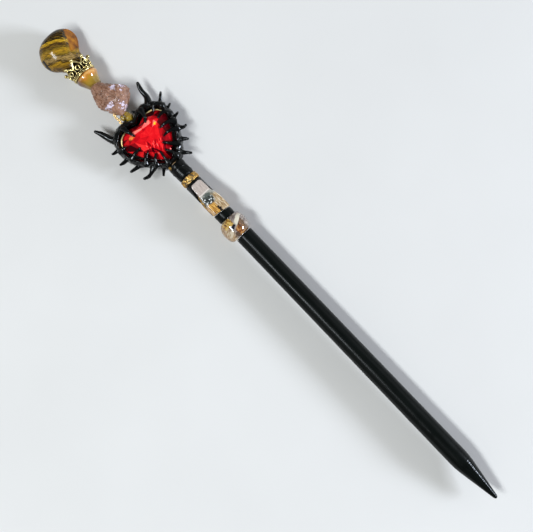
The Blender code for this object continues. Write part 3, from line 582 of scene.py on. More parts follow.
def clear_glass():
    """The clear bead: polished, with grey-mauve, cream, gold and orange veils through it."""
    look = Look(
        "clear_glass", 0.04, Transmission_Weight=0.4, IOR=1.5, Coat_Weight=0.6,
        Coat_Roughness=0.02,
    )
    veil = look.noise(230, 5, distortion=1.2)
    warp = look.sway(veil, -0.9, 0.9)
    grain = look.noise(1.0, 4, where=look.stretched((0.6, 2.4, 2.4), 25))
    station = look.plus(look.position("X"), look.sway(veil, -0.4, 0.4))
    side = look.plus(look.position("Y"), look.sway(veil, -0.4, 0.4))
    diagonal = look.plus(look.along((0.84, 0.54, 0.0), -106.8), look.sway(veil, -0.3, 0.3))
    streaks = look.noise(1.0, 4, where=look.stretched((3.4, 0.75, 0.9)))
    golden = look.ramp(
        streaks, (0.40, rgb(104, 60, 16)), (0.48, rgb(196, 138, 48)), (0.57, rgb(250, 214, 120)),
    )
    mottled = look.ramp(
        look.noise(620, 4), (0.4, rgb(82, 44, 20)), (0.5, rgb(160, 92, 38)),
        (0.6, rgb(212, 156, 92)),
    )
    tan = look.ramp(
        grain, (0.38, rgb(150, 112, 72)), (0.52, rgb(206, 168, 122)), (0.64, rgb(240, 222, 190)),
    )
    mauve = look.ramp(
        grain, (0.38, rgb(116, 102, 94)), (0.52, rgb(168, 152, 142)), (0.64, rgb(204, 190, 178)),
    )
    block = look.times(look.rescale(station, 125.2, 124.8), look.band(side, -1.6, 2.2, 0.2))
    amber = look.times(look.rescale(diagonal, 0.9, 1.2), look.band(side, 2.2, 2.4, 0.5))

    def slanted(centre, half_width, soft, *where):
        """A slanting stripe, kept to a spot of (station, y, reach)."""
        return look.times(look.band(diagonal, centre, half_width, soft), look.spot(*where))

    look.colour(look.paint(
        look.mix(look.rescale(side, -3.0, -1.2), tan, mauve),
        (block, golden),
        (amber, look.mix(look.rescale(side, 1.6, 4.2), mottled, rgb(112, 84, 60))),
        (look.spot(130.0, -2.0, 1.5, warp, 0.4), rgb(92, 70, 52)),
        (slanted(0.0, 0.85, 0.2, 125.3, 3.3, 3.6), rgb(255, 246, 220)),
        (slanted(-0.3, 0.5, 0.3, 127.4, -4.4, 2.4), rgb(250, 230, 198)),
        (slanted(-0.5, 0.55, 0.25, 126.2, -1.2, 1.9), rgb(22, 26, 40)),
    ))
    look.vary("Roughness", look.rescale(veil, 0.5, 0.75, 0.03, 0.14))
    return look.bump(look.noise(140, 2), 0.2, 0.3).material


def quartz():
    """A milky face at the quartz point's root, a bubbly middle and an end lit by gold leaf."""
    look = Look(
        "quartz", 0.06, IOR=1.54, Transmission_Weight=0.15, Coat_Weight=0.7, Coat_Roughness=0.04,
    )
    cloud = look.noise(420, 5, distortion=0.8)
    warp = look.sway(cloud, -0.7, 0.7)
    station = look.plus(look.position("X"), warp)
    side = look.plus(look.position("Y"), look.sway(cloud, -0.5, 0.5))
    layers = look.noise(1.0, 5, distortion=0.4, where=look.stretched((2.6, 0.5, 0.7), 4))
    milk = look.noise(1.0, 4, where=look.stretched((2.2, 0.5, 0.6)))
    milky = look.ramp(milk, (0.3, rgb(176, 160, 150)), (0.6, rgb(206, 190, 178)))
    beige = look.ramp(
        layers, (0.38, rgb(150, 118, 78)), (0.52, rgb(196, 168, 128)), (0.64, rgb(238, 222, 196)),
    )
    golden = look.ramp(
        layers, (0.36, rgb(96, 62, 26)), (0.48, rgb(196, 138, 60)), (0.62, rgb(236, 186, 96)),
    )
    bubbles = look.plus(look.cells(820), look.sway(look.noise(1500, 3), -0.12, 0.12))
    # The white centre of each bubble is a painted highlight
    bubbly = look.ramp(
        bubbles, (0.0, rgb(255, 255, 255)), (0.24, rgb(232, 232, 226)), (0.32, rgb(34, 40, 36)),
        (0.52, rgb(86, 92, 84)), (0.64, rgb(10, 14, 12)),
    )
    ended = look.rescale(station, 110.2, 111.2)
    beyond_face = look.rescale(station, 104.4, 105.4)
    clear_end = look.mix(look.rescale(side, 0.9, 1.6), golden, beige)
    upper_end = look.times(look.rescale(station, 106.5, 108.0), look.rescale(side, 2.4, 3.2))
    dark_line = look.times(look.band(station, 115.2, 1.5, 0.5), look.band(side, 1.2, 0.45, 0.3))
    edge = look.band(look.position("X"), 104.7, 0.18, 0.25)
    pale_edge = look.times(edge, look.band(side, 0.6, 2.9))
    look.colour(look.paint(
        milky,
        (beyond_face, rgb(170, 166, 154)),
        (look.spot(107.6, 0.4, 2.8, warp, 0.2), rgb(92, 98, 90)),
        (look.spot(108.6, -0.7, 3.0, warp, 0.3), bubbly),
        (ended, clear_end),
        (upper_end, beige),
        (dark_line, rgb(24, 18, 12)),
        (pale_edge, rgb(226, 214, 202)),
    ))
    look.vary("Roughness", look.rescale(cloud, 0.45, 0.75, 0.04, 0.22))
    return look.bump(look.noise(300, 4), 0.3, 0.15).material


def pale_floor():
    look = Look("pale_floor", 0.75)
    look.colour(look.ramp(look.noise(9, 3), (0.3, (0.62, 0.60, 0.57)), (0.7, (0.65, 0.63, 0.60))))
    return look.bump(look.noise(700, 3), 0.1, 0.05).material


# ================================================================ shaft, band and bead

CONE_START = 281.2
CONE_TIP_RADIUS = 0.9
RIBS = ((0.030, 1.3), (0.018, 0.52))  # height and spacing of the ribs left by the sharpening
BLISTER_STATION, BLISTER_ANGLE = 259.7, TOP + 0.28
BEAD_Y = -0.6
BEAD_FLAT_RADIUS = 3.7
BEAD_TILT = 0.3
END_SLANT = 0.17                  # slant of the quartz point's far face and of the band after it
PIN_BORE = 1.1


def build_shaft(black):
    """The dowel swells a little towards its far end and is sharpened to a ribbed point."""
    start, end = span("shaft")
    low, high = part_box("shaft")
    thick = (high.y - low.y) / 2 / MM
    thin = thick * 0.925
    rows = [(start, thin - 1.2), (start, thin - 0.25), (start + 0.25, thin)]
    station = start + 1.0
    while station < CONE_START - 2.0:
        rows.append((station, thin + (thick - thin) * (station - start) / (CONE_START - start)))
        station += 1.5
    while station < end - CONE_TIP_RADIUS:
        share = max(0.0, (station - CONE_START) / (end - CONE_START))
        shoulder = 0.12 * math.exp(-((station - CONE_START) / 2.0) ** 2)
        radius = thick - (thick - CONE_TIP_RADIUS) * share - shoulder
        ribs = min(1.0, max(0.0, (station - CONE_START) / 3.0))
        rib = sum(height * math.sin(2 * math.pi * station / gap) for height, gap in RIBS)
        rows.append((station, radius + ribs * rib * (0.3 + 0.7 * radius / thick)))
        station += 0.13
    for step in range(1, 7):
        turn = TOP * step / 7
        station = end - CONE_TIP_RADIUS + CONE_TIP_RADIUS * math.sin(turn)
        rows.append((station, CONE_TIP_RADIUS * math.cos(turn)))

    def wave(station, angle, radius):
        if station > CONE_START:
            return 0.0
        slow = 0.035 * round_noise(station / 9, angle)
        blister = Vector((station - BLISTER_STATION, 4.7 * (angle - BLISTER_ANGLE)))
        return slow + 0.22 * math.exp(-blister.length_squared / 0.25)

    finish_mesh("shaft_painted", lathe(rows, 96, wave), black, ["shaft"], sharp=50)


def build_band(black):
    """A black band. Its first face is slanted to meet the quartz point."""
    end = span("spacer_band")[1]
    start, radius = 116.65, 4.46
    rows = [
        (start, PIN_BORE), (start, radius - 0.3), (start + 0.1, radius - 0.1),
        (start + 0.35, radius), (end - 0.35, radius), (end - 0.1, radius - 0.1),
        (end, radius - 0.3), (end, PIN_BORE),
    ]

    def slant(station, angle, radius_here):
        return END_SLANT * radius_here * math.cos(angle) if station < start + 0.5 else 0.0

    bm = lathe(rows, 96, bored=True, slant=slant)
    finish_mesh("spacer_band_painted", bm, black, ["spacer_band"], sharp=50)


def build_bead(glass):
    """A thick clear rondelle with a soft flat on each end, a little off centre and leaning."""
    start, end, radius = 120.9, 131.1, 6.9
    middle, half = (start + end) / 2, (end - start) / 2
    rows = []
    for step in range(33):
        turn = math.pi * step / 32
        rows.append((
            middle - half * math.cos(turn),
            BEAD_FLAT_RADIUS + (radius - BEAD_FLAT_RADIUS) * math.sin(turn) ** 0.8,
        ))

    def worn(station, angle, radius_here):
        if radius_here < BEAD_FLAT_RADIUS:
            return 0.0
        return 0.16 * round_noise(station / 5, angle, 1.6) - 0.05

    def slant(station, angle, radius_here):
        return -BEAD_TILT * max(0.0, radius_here - BEAD_FLAT_RADIUS) * math.cos(angle)

    bm = lathe(with_bore(rows, PIN_BORE), 96, worn, True, BEAD_Y, slant)
    finish_mesh("clear_bead_glass", bm, glass, ["clear_bead"])


# ================================================================ quartz point and its setting

SOCKET_RADIUS = 4.45
STEM_RADIUS = 3.2
STEM_BORE = STEM_RADIUS + 0.3
CRYSTAL_HALF_HEIGHT = 4.0
LEAF_GAP = 0.12
# Each row of the quartz point: station, +Y edge, edge of the flat top, -Y edge
CRYSTAL_ROWS = (
    (98.1, 2.6, -1.6, -1.9), (98.6, 3.4, -2.1, -2.3), (99.3, 3.8, -2.4, -2.6),
    (102.0, 3.9, -2.5, -2.8), (104.0, 3.9, -2.6, -3.2), (105.3, 4.0, -2.7, -3.8),
    (107.4, 4.6, -2.8, -4.2), (109.5, 5.1, -2.8, -4.4), (113.0, 5.2, -3.0, -4.4),
    (116.35, 5.1, -3.0, -4.2),
)


def add_bevel(piece, width):
    bevel = piece.modifiers.new("worn_edges", "BEVEL")
    bevel.width = width * MM
    bevel.segments = 3
    bevel.limit_method = "ANGLE"
    bevel.angle_limit = math.radians(25)


def build_crystal(clear):
    """A six-sided point with a flat top, a rounded root and a slanted far face."""
    rings = []
    top = CRYSTAL_HALF_HEIGHT
    for row in CRYSTAL_ROWS:
        station, left, flat_edge, right = row
        corners = (
            (left - 0.3, top), (left, 0.4), (left - 1.6, -top),
            (right + 1.2, -top), (right, 0.2), (flat_edge, top),
        )
        slant = END_SLANT if row == CRYSTAL_ROWS[-1] else 0.0
        rings.append([place(station + slant * y, y, AXIS_Z + z) for y, z in corners])
    piece = finish_mesh(
        "quartz_point_clear", loft(rings), clear, ["quartz_point"], sharp=12,
    )
    add_bevel(piece, 0.3)


def build_socket(black):
    """A black cup with a slanting mouth, which leaves a tapering cheek on each side."""
    stem, end = span("crystal_socket")
    start = 97.0
    rows = [
        (stem, 1.8), (stem, STEM_RADIUS), (start, STEM_RADIUS),
        (start + 0.05, SOCKET_RADIUS - 0.3), (start + 0.35, SOCKET_RADIUS),
        (end - 4, SOCKET_RADIUS), (end - 1, SOCKET_RADIUS), (end, SOCKET_RADIUS - 0.1),
    ]

    def wave(station, angle, radius):
        return 0.1 * round_noise(station / 3, angle, 1.5) - 0.05

    bm = lathe(rows, 96, wave)
    mouth, mouth_facing = place(start + 0.9, 0, AXIS_Z + 3.95), Vector((0.36, -0.05, 0.93))
    slice_off(bm, mouth, mouth_facing)
    piece = finish_mesh(
        "crystal_socket_black", bm, black, ["crystal_socket"], sharp=50,
    )
    add_bevel(piece, 0.15)


def build_leaf_sheet(gold):
    """Leaf with torn edges, laid under the quartz point and up its -Y side."""
    def edges_at(station):
        for before, after in zip(CRYSTAL_ROWS, CRYSTAL_ROWS[1:]):
            if station <= after[0]:
                share = (station - before[0]) / (after[0] - before[0])
                return [a + (b - a) * share for a, b in zip(before, after)][1:]
        return CRYSTAL_ROWS[-1][1:]

    bm = bmesh.new()
    strips = []
    under = -CRYSTAL_HALF_HEIGHT - LEAF_GAP
    for step in range(48):
        station = 102.9 + 12.2 * step / 47
        left, flat_edge, right = edges_at(station)
        torn = smooth_noise(station * 0.9, 3.0)
        climb = max(0.0, 0.62 - 0.9 * max(0.0, station - 109.3) / 3.0 + 0.25 * torn)
        profile = [
            (left - 1.9 + 0.5 * torn, under), ((left + right) / 2, under), (right + 1.0, under),
            (right - LEAF_GAP, 0.1),
            (right - LEAF_GAP + (flat_edge - right) * climb, 0.2 + 3.8 * climb),
        ]
        strips.append([bm.verts.new(place(station, y, AXIS_Z + z)) for y, z in profile])
    skin(bm, strips, closed_rings=False)
    piece = finish_mesh("gold_leaf_sheet", bm, gold, ["gold_leaf_bed"])
    solid = piece.modifiers.new("thickness", "SOLIDIFY")
    solid.thickness = 0.12 * MM
    solid.offset = 0


def build_leaf_ring(gold):
    """A lumpy ring of crumpled leaf."""
    start, end = span("gold_leaf_ring")
    rim, swell = 4.35, 0.18
    rows = []
    for step in range(25):
        share = step / 24
        rows.append((start + (end - start) * share, rim + swell * math.sin(math.pi * share)))

    def crumple(station, angle, radius):
        if radius == STEM_BORE:
            return 0.0
        spot = (station * 0.9, 3.6 * math.cos(angle), 3.6 * math.sin(angle))
        fine = smooth_noise(*(3 * value for value in spot))
        return 0.34 * abs(smooth_noise(*spot)) + 0.12 * fine - 0.08

    bm = lathe(with_bore(rows, STEM_BORE), 160, crumple, bored=True)
    finish_mesh("gold_leaf_band", bm, gold, ["gold_leaf_ring"], sharp=60)


def build_sleeve(black):
    """A tube of black wrap with slanting creases and a pinched edge."""
    start, end = span("sleeve_wrap")
    rows = []
    steps = 56
    mean_radius = 4.2
    for step in range(steps + 1):
        share = step / steps
        lip = 0.25 * (math.exp(-(share * 14) ** 2) + math.exp(-((1 - share) * 14) ** 2))
        rows.append((start + (end - start) * share, mean_radius - lip))

    def crease(station, angle, radius):
        if radius == STEM_BORE:
            return 0.0
        wander = 1.6 * round_noise(station / 4, angle)
        ridge = 1 - abs(math.sin(1.5 * angle + 0.62 * station + wander))
        fine = round_noise(station * 0.8, angle, 4)
        return 0.24 * ridge ** 4 + 0.04 * fine

    bm = lathe(with_bore(rows, STEM_BORE), 128, crease, bored=True)
    finish_mesh("sleeve_creased", bm, black, ["sleeve_wrap"], sharp=60)


def build_fleck(gold):
    """A small blob of gold that ran down beside the sleeve."""
    bm = bmesh.new()
    verts = add_ball(bm, Vector(), 0.85, 3)
    for vert in verts:
        lump = 1 + 0.25 * noise.noise(vert.co / MM)
        vert.co = Vector((vert.co.x * 1.1, vert.co.y * 0.8, vert.co.z)) * lump
    station, angle, off_axis = 85.2, TOP + 0.8, 4.2
    bmesh.ops.translate(bm, verts=verts, vec=around(station, angle, off_axis))
    finish_mesh("gold_fleck", bm, gold)


# ================================================================ heart gem

GEM_Y = 0.8
GEM_LOBE_S = 64.8
GEM_LOBE_Y = 6.0
GEM_LOBE_RADIUS = 6.75
GEM_CLEFT_S = 59.8
GEM_POINT_S = 82.0
GEM_SIDE_BULGE = 1.7
GEM_CULET_S = 68.8
GIRDLE_Z = 8.1
GIRDLE_THICKNESS = 0.5
CROWN_RISE = 2.6
TABLE_Z = 12.1
PAVILION_DROP = 1.7
CULET_Z = 5.0
# Rows of facet corners: the outline shrunk by a scale about a station on the gem's middle line
CROWN_SCALE, CROWN_S = 0.76, 66.4
TABLE_SCALE, TABLE_S = 0.56, 65.4
STAR_SCALE, STAR_S = 0.55, 67.0
STAR_MIDDLE_S = 67.4
PAVILION_SCALE = 0.5
# Painted light and shade on the facets, where the foil behind the glass throws light back:
# station, y, reach and how much brighter
GLOWS = (
    (66.5, 5.0, 3.2, 0.18), (70.5, 3.0, 2.8, 0.2), (66.5, 0.5, 3.0, 0.15), (61.6, 4.0, 1.6, 0.15),
    (61.4, -2.0, 1.8, 0.15), (68.5, -4.7, 0.9, 0.5), (74.8, -1.0, 1.1, 0.9), (64.3, 7.2, 0.9, 0.9),
    (62.3, -6.0, 1.1, 1.0), (70.6, 9.3, 1.3, 0.4), (70.6, -8.0, 1.3, 0.4),
    (66.0, 12.0, 2.4, -0.12), (74.2, 6.2, 1.5, -0.1), (64.5, -10.6, 2.6, -0.1),
    (66.2, -7.6, 1.4, 0.2),
)


def heart_outline():
    """The gem's edge as (station, y) points: two round lobes that run to a point."""
    reach_s = GEM_POINT_S - GEM_LOBE_S
    distance = math.hypot(reach_s, GEM_LOBE_Y)
    last = math.pi - math.atan2(GEM_LOBE_Y, -reach_s) + math.acos(GEM_LOBE_RADIUS / distance)
    first = math.radians(200)
    half = [(GEM_CLEFT_S, 0.0)]
    for step in range(8):
        angle = first + (last - first) * step / 7
        half.append((
            GEM_LOBE_S + GEM_LOBE_RADIUS * math.cos(angle),
            GEM_LOBE_Y + GEM_LOBE_RADIUS * math.sin(angle),
        ))
    tangent_s, tangent_y = half[-1]
    for share in (0.36, 0.7):
        bulge = GEM_SIDE_BULGE * math.sin(math.pi * share) * 0.7
        half.append((
            tangent_s + (GEM_POINT_S - tangent_s) * share + bulge,
            tangent_y * (1 - share) + bulge,
        ))
    half.append((GEM_POINT_S, 0.0))
    mirrored = [(station, -y) for station, y in half[-2:0:-1]]
    return [(station, y + GEM_Y) for station, y in half + mirrored]


def shrunk(outline, scale, about):
    return [
        (about[0] + (station - about[0]) * scale, about[1] + (y - about[1]) * scale)
        for station, y in outline
    ]


def glow_at(station, y):
    return sum(
        gain * math.exp(-((station - s) ** 2 + (y - side) ** 2) / reach ** 2)
        for s, side, reach, gain in GLOWS
    )


def build_gem(red):
    """A faceted heart. Each facet's painted light or shade is kept in an attribute that its
    material reads.
    """
    bm = bmesh.new()
    shade = bm.faces.layers.float.new("facet")
    centre = (GEM_CULET_S, GEM_Y)
    outline = heart_outline()
    count = len(outline)

    def ring(points, height):
        return [bm.verts.new(place(station, y, height)) for station, y in points]

    # A facet with its painted light or shade: a base value, a random spread and the glows
    def facet(corners, base, spread=0.12):
        face = bm.faces.new(corners)
        middle = face.calc_center_median()
        mottle = spread * (2 * noise.cell(middle / MM * 1.7) - 1)
        face[shade] = base + mottle + glow_at(*plan(middle))

    upper_girdle = ring(outline, GIRDLE_Z + GIRDLE_THICKNESS)
    lower_girdle = ring(outline, GIRDLE_Z)
    crown = ring(shrunk(outline, CROWN_SCALE, (CROWN_S, GEM_Y))[1::2], GIRDLE_Z + CROWN_RISE)
    table_outline = shrunk(outline, TABLE_SCALE, (TABLE_S, GEM_Y))[0::2]
    table = ring(table_outline, TABLE_Z)
    half = count // 2
    between = [
        tuple((a + b) / 2 for a, b in zip(table_outline[step], table_outline[(step + 1) % half]))
        for step in range(half)
    ]
    # The table is one flat face. It is split so that the facets behind it, which show through,
    # each get their own painted light.
    star = ring(shrunk(between, STAR_SCALE, (STAR_S, GEM_Y)), TABLE_Z)
    heart = bm.verts.new(place(STAR_MIDDLE_S, GEM_Y, TABLE_Z))
    pavilion = ring(shrunk(outline, PAVILION_SCALE, centre)[1::2], GIRDLE_Z - PAVILION_DROP)
    culet = bm.verts.new(place(GEM_CULET_S, GEM_Y, CULET_Z))
    for step in range(count):
        after = (step + 1) % count
        facet(
            (lower_girdle[step], lower_girdle[after], upper_girdle[after], upper_girdle[step]),
            0.2,
        )
    for step in range(half):
        nxt = (step + 1) % half
        low, middle, high = 2 * step, 2 * step + 1, (2 * step + 2) % count
        facet((upper_girdle[low], upper_girdle[middle], crown[step]), 0.52, 0.2)
        facet((upper_girdle[middle], upper_girdle[high], crown[step]), 0.62, 0.22)
        facet((upper_girdle[high], crown[nxt], crown[step]), 0.56, 0.3)
        facet((crown[step], crown[nxt], table[nxt]), 0.52, 0.2)
        facet((table[step], crown[step], table[nxt]), 0.6, 0.2)
        facet((table[step], table[nxt], star[step]), 0.60, 0.05)
        facet((table[nxt], star[nxt], star[step]), 0.62, 0.05)
        facet((star[step], star[nxt], heart), 0.62, 0.04)
        facet((lower_girdle[low], pavilion[step], lower_girdle[middle]), 0.2)
        facet((lower_girdle[middle], pavilion[step], lower_girdle[high]), 0.2)
        facet((lower_girdle[high], pavilion[step], pavilion[nxt]), 0.2)
        facet((pavilion[step], culet, pavilion[nxt]), 0.2)
    surface = BVHTree.FromBMesh(bm)
    finish_mesh("heart_gem_red", bm, red, ["heart_gem"], sharp=1)
    return surface


# The gem's gilt setting shows beside each lobe: arcs of (station, y, height) points
RIM_ARCS = (
    ((58.2, 5.6, 9.2), (58.5, 8.4, 9.4), (59.2, 10.5, 9.5), (60.5, 12.1, 9.5), (62.4, 13.4, 9.4)),
    (
        (58.0, -5.0, 9.2), (58.3, -7.4, 9.4), (59.2, -9.5, 9.5), (60.5, -11.0, 9.5),
        (62.2, -12.0, 9.4),
    ),
)


def build_rim(gilt):
    """The edge of the gem's gilt setting, which thins out at both ends of each arc."""
    bm = bmesh.new()
    for arc in RIM_ARCS:
        path = [place(*spot) for spot in catmull_rom(arc, 8)]
        sweep(path, lambda share, angle: 0.08 + 0.34 * math.sin(math.pi * share), 14, bm)
    finish_mesh("gem_rim_gilt", bm, gilt, sharp=60)


# ================================================================ heart frame

FRAME_HEIGHT = 10.4
THORN_HEIGHT = 5.8
THORN_LIFT = 1.2
CLAW_HEIGHT = 9.7
CLAW_ARCH = 1.9
STOUT_ROOT = 1.5                  # a limb with a thicker root than this doesn't flare
# The black ring seen from above, as (station, y) of its outer edge and then of its inner edge:
# a notched back, two round lobes and a blunt nose
RING = (
    (55.4, 0.7, 59.2, 0.7), (53.3, 4.4, 57.6, 3.6), (53.2, 8.6, 57.5, 7.6),
    (54.2, 12.0, 58.6, 10.6), (57.0, 14.9, 60.4, 12.5), (60.6, 16.7, 62.6, 13.7),
    (64.8, 17.0, 65.2, 14.0), (68.8, 15.7, 68.0, 13.2), (72.4, 14.4, 71.0, 12.2),
    (76.3, 12.0, 74.4, 9.8), (80.0, 9.6, 76.9, 6.8), (83.3, 6.6, 79.2, 4.0),
    (84.6, 3.0, 81.2, 1.8), (84.6, -2.4, 81.2, -0.8), (83.0, -5.2, 79.0, -3.2),
    (79.6, -7.3, 76.6, -5.2), (76.0, -10.5, 73.6, -8.2), (71.8, -13.7, 70.4, -10.9),
    (67.0, -15.3, 66.4, -12.3), (62.5, -15.3, 62.6, -12.5), (57.5, -13.9, 59.8, -10.8),
    (54.3, -11.0, 58.2, -8.2), (53.3, -7.0, 57.7, -5.6), (53.1, -3.0, 57.9, -2.4),
)
# Each limb is a row of (station, y, radius) points from its root in the ring to its tip
THORNS = (
    ((59.4, 14.2, 1.2), (57.2, 17.0, 0.9), (55.3, 19.2, 0.55)),
    ((62.9, 15.6, 0.9), (62.2, 18.5, 0.5)),
    ((68.1, 14.8, 1.1), (67.8, 18.3, 0.5)),
    ((72.9, 13.2, 1.2), (74.5, 15.4, 0.85), (74.8, 17.0, 0.5)),
    ((77.5, 10.2, 1.2), (79.0, 11.9, 0.9), (80.2, 13.0, 0.6)),
    ((82.2, 5.9, 1.2), (84.4, 8.0, 0.85), (86.1, 9.4, 0.6)),
    ((81.9, -2.9, 1.0), (82.6, -5.2, 0.85), (84.7, -7.4, 0.6)),
    ((78.2, -7.6, 1.1), (79.8, -11.0, 0.95), (80.2, -13.2, 0.9), (79.6, -15.1, 0.7)),
    ((73.4, -11.4, 1.1), (73.2, -14.6, 0.95), (72.9, -17.2, 0.7)),
    ((66.9, -13.6, 1.1), (67.3, -16.4, 0.95), (67.0, -18.5, 0.6)),
    ((61.1, -13.8, 1.2), (61.0, -16.2, 0.85), (60.7, -17.7, 0.55)),
    ((54.9, 5.0, 0.9), (52.6, 3.3, 0.5)),
    ((55.0, -1.9, 0.8), (52.2, -2.4, 0.45)),
)
HORNS = {
    "horn_upper": (
        (55.6, 10.7, 2.0), (52.0, 12.9, 1.4), (48.3, 13.3, 1.15), (45.9, 14.0, 1.0),
        (44.6, 14.5, 0.75),
    ),
    "horn_lower": (
        (57.2, -11.9, 2.1), (54.7, -13.4, 1.75), (52.3, -14.2, 1.55), (49.9, -14.9, 1.3),
        (47.4, -16.1, 0.75),
    ),
}
CLAWS = (
    ((61.0, 15.2, 1.0), (58.9, 14.4, 0.95), (58.6, 12.3, 0.85), (60.2, 10.3, 0.55)),
    ((66.2, 15.2, 0.95), (64.2, 14.4, 0.85), (63.6, 12.2, 0.75), (64.0, 9.8, 0.5)),
    ((70.2, 14.2, 1.0), (68.8, 12.2, 0.85), (68.1, 9.6, 0.75), (68.2, 7.4, 0.5)),
    ((73.8, 12.8, 1.0), (72.6, 10.6, 0.85), (72.0, 8.2, 0.75), (72.0, 6.0, 0.5)),
    ((79.2, 8.0, 1.0), (76.8, 5.6, 0.85), (75.2, 4.3, 0.7), (74.3, 3.4, 0.5)),
    ((82.6, 3.6, 1.0), (80.4, 3.3, 0.8), (78.6, 2.5, 0.7), (77.3, 1.8, 0.5)),
    ((82.8, -1.8, 1.0), (80.6, -1.4, 0.8), (78.4, -1.0, 0.7), (76.6, -0.8, 0.5)),
    ((79.6, -6.4, 1.0), (77.9, -5.4, 0.8), (76.6, -4.2, 0.7), (75.6, -3.1, 0.5)),
    ((75.9, -9.8, 1.0), (74.5, -8.4, 0.85), (73.3, -6.7, 0.75), (72.5, -5.2, 0.5)),
    ((69.2, -12.6, 1.0), (68.8, -10.6, 0.85), (68.6, -8.4, 0.75), (68.5, -6.5, 0.5)),
    ((63.2, -14.0, 0.9), (63.3, -12.4, 0.75), (63.4, -11.0, 0.5)),
    ((56.3, -5.6, 1.0), (58.6, -5.3, 0.95), (60.8, -4.8, 0.75), (62.8, -4.3, 0.5)),
    ((55.9, 6.4, 1.0), (58.2, 6.0, 0.9), (60.2, 5.2, 0.7), (61.6, 4.1, 0.5)),
)


def build_ring(black):
    """The ring: a lumpy black band with a flat back and a rounded top, between its two edges."""
    section = (
        (0.15, 0.0), (0.85, 0.0), (0.98, 1.6), (1.0, 5.2), (0.95, 7.6), (0.8, 9.4),
        (0.5, FRAME_HEIGHT), (0.2, 9.4), (0.05, 7.6), (0.0, 5.2), (0.02, 1.6),
    )
    rings = []
    for outer_s, outer_y, inner_s, inner_y in catmull_rom(RING, 16, closed=True):
        across = Vector((outer_s - inner_s, outer_y - inner_y))
        ring = []
        for share, height in catmull_rom(section, 4, closed=True):
            height = max(height, 0.0)
            spot = Vector((inner_s, inner_y)) + across * share
            lump = 0.0
            if height > 0.5:
                lump = 0.5 * smooth_noise(spot.x * 0.42, spot.y * 0.42, height * 0.35)
                lump += 0.16 * smooth_noise(spot.x * 1.3, spot.y * 1.3, height * 1.1)
            spot += across.normalized() * lump * (2 * share - 1)
            ring.append(place(spot.x, spot.y, height + (lump if height > 7 else 0.0)))
        rings.append(ring)
    bm = loft(rings, loop=True)
    finish_mesh("heart_frame_ring", bm, black, ["heart_frame"], sharp=60)


def build_limb(name, row, heights, black, seed, gem_surface=None):
    """A tapering limb with a flared root, small lumps and a round tip. A claw rests on the gem."""
    curve = catmull_rom(row, 7)
    last = len(curve) - 1
    path = [place(spot.x, spot.y, heights(index / last)) for index, spot in enumerate(curve)]
    for point, spot in zip(path, curve):
        above = point + Vector((0, 0, 20 * MM))
        hit = gem_surface.ray_cast(above, Vector((0, 0, -1)))[0] if gem_surface else None
        if hit is not None:
            point.z = max(point.z, hit.z + (spot.z + 0.05) * MM)
    tip_direction = (path[-1] - path[-2]).normalized()
    tip_radius = curve[-1].z
    for step in range(1, 6):
        path.append(path[last] + tip_direction * tip_radius * MM * math.sin(TOP * step / 5))
    count = len(path) - 1

    def radius_at(share, angle):
        index = share * count
        before = min(int(index), last)
        after = min(before + 1, last)
        radius = curve[before].z + (curve[after].z - curve[before].z) * (index - before)
        flare = 0.8 * curve[0].z if curve[0].z < STOUT_ROOT else 0.3
        root = flare * math.exp(-(share * count / last / 0.2) ** 2)
        lump = 1 + 0.16 * round_noise(share * 4 + seed * 7.3, angle)
        past = max(0.0, index - last) / 5
        return max(0.02, (radius + root) * lump * math.cos(TOP * past))

    bm = sweep(path, radius_at, 18)
    finish_mesh(f"{name}_black", bm, black, [name], sharp=70)


def build_limbs(black, gem_surface):
    """Thorns and horns outside the ring, and claws that arch over the gem and rest on it."""
    def thorn_height(share):
        return THORN_HEIGHT + THORN_LIFT * share ** 1.5

    def claw_height(share):
        return CLAW_HEIGHT + CLAW_ARCH * math.sin(math.pi * min(share * 0.9, 0.62))

    thorns = [(f"thorn_{index:02d}", row) for index, row in enumerate(THORNS, 1)]
    for seed, (name, row) in enumerate(thorns + list(HORNS.items())):
        build_limb(name, row, thorn_height, black, seed)
    for index, row in enumerate(CLAWS, 1):
        build_limb(f"claw_{index:02d}", row, claw_height, black, 30 + index, gem_surface)


# ================================================================ handle stones

POMMEL_STATIONS = (
    (0.0, -3.6, 3.2, 2.2), (0.4, -5.6, 5.2, 3.9), (1.2, -7.2, 6.6, 5.4),
    (2.6, -9.0, 8.2, 6.6), (4.6, -10.3, 9.4, 7.5), (7.0, -11.4, 9.9, 7.85),
    (9.4, -11.6, 9.2, 7.8), (12.0, -11.0, 7.4, 7.1), (14.2, -9.6, 5.8, 6.2),
    (16.2, -7.4, 5.2, 5.4), (18.4, -6.0, 4.6, 4.8), (21.2, -4.6, 3.5, 4.2),
    (23.2, -3.7, 2.7, 3.2),
)
POMMEL_FACET_POINT = (3.0, 8.4, 2.4)
POMMEL_FACET_NORMAL = (0.25, 0.82, 0.51)
CHUNK_STATIONS = (
    (30.8, -1.6, 0.6, 1.2), (31.7, -3.3, 1.5, 3.0), (33.4, -4.5, 2.4, 4.3),
    (35.4, -5.2, 4.0, 5.3), (37.6, -5.9, 5.9, 6.1), (39.8, -6.4, 8.2, 6.5),
    (41.6, -6.5, 9.2, 6.6), (43.4, -5.6, 9.4, 6.5), (45.2, -4.7, 8.5, 6.2),
    (47.2, -4.0, 6.8, 5.4), (48.8, -3.3, 4.2, 4.4), (50.2, -2.2, 1.8, 3.2),
    (51.6, -1.2, 0.4, 1.6),
)
CHUNK_RAISE = 0.4
BREAKS_PER_MM, FINE_BREAKS_PER_MM = 0.42, 1.25
# Flat breaks on the rough stone: a point as (station, y, height off the axis) and the way it faces
CHUNK_BREAKS = (
    ((47.4, 3.0, 4.2), (0.75, 0.25, 0.6)),
    ((39.6, 8.4, 3.4), (-0.35, 0.72, 0.6)),
    ((35.9, -3.4, 5.0), (-0.35, -0.5, 0.8)),
)
# The edge of the orange face seen from above: the way it faces and how far out it is
ORANGE_FACE = (0.436, 0.9, 0.0)
ORANGE_EDGE = 8.24


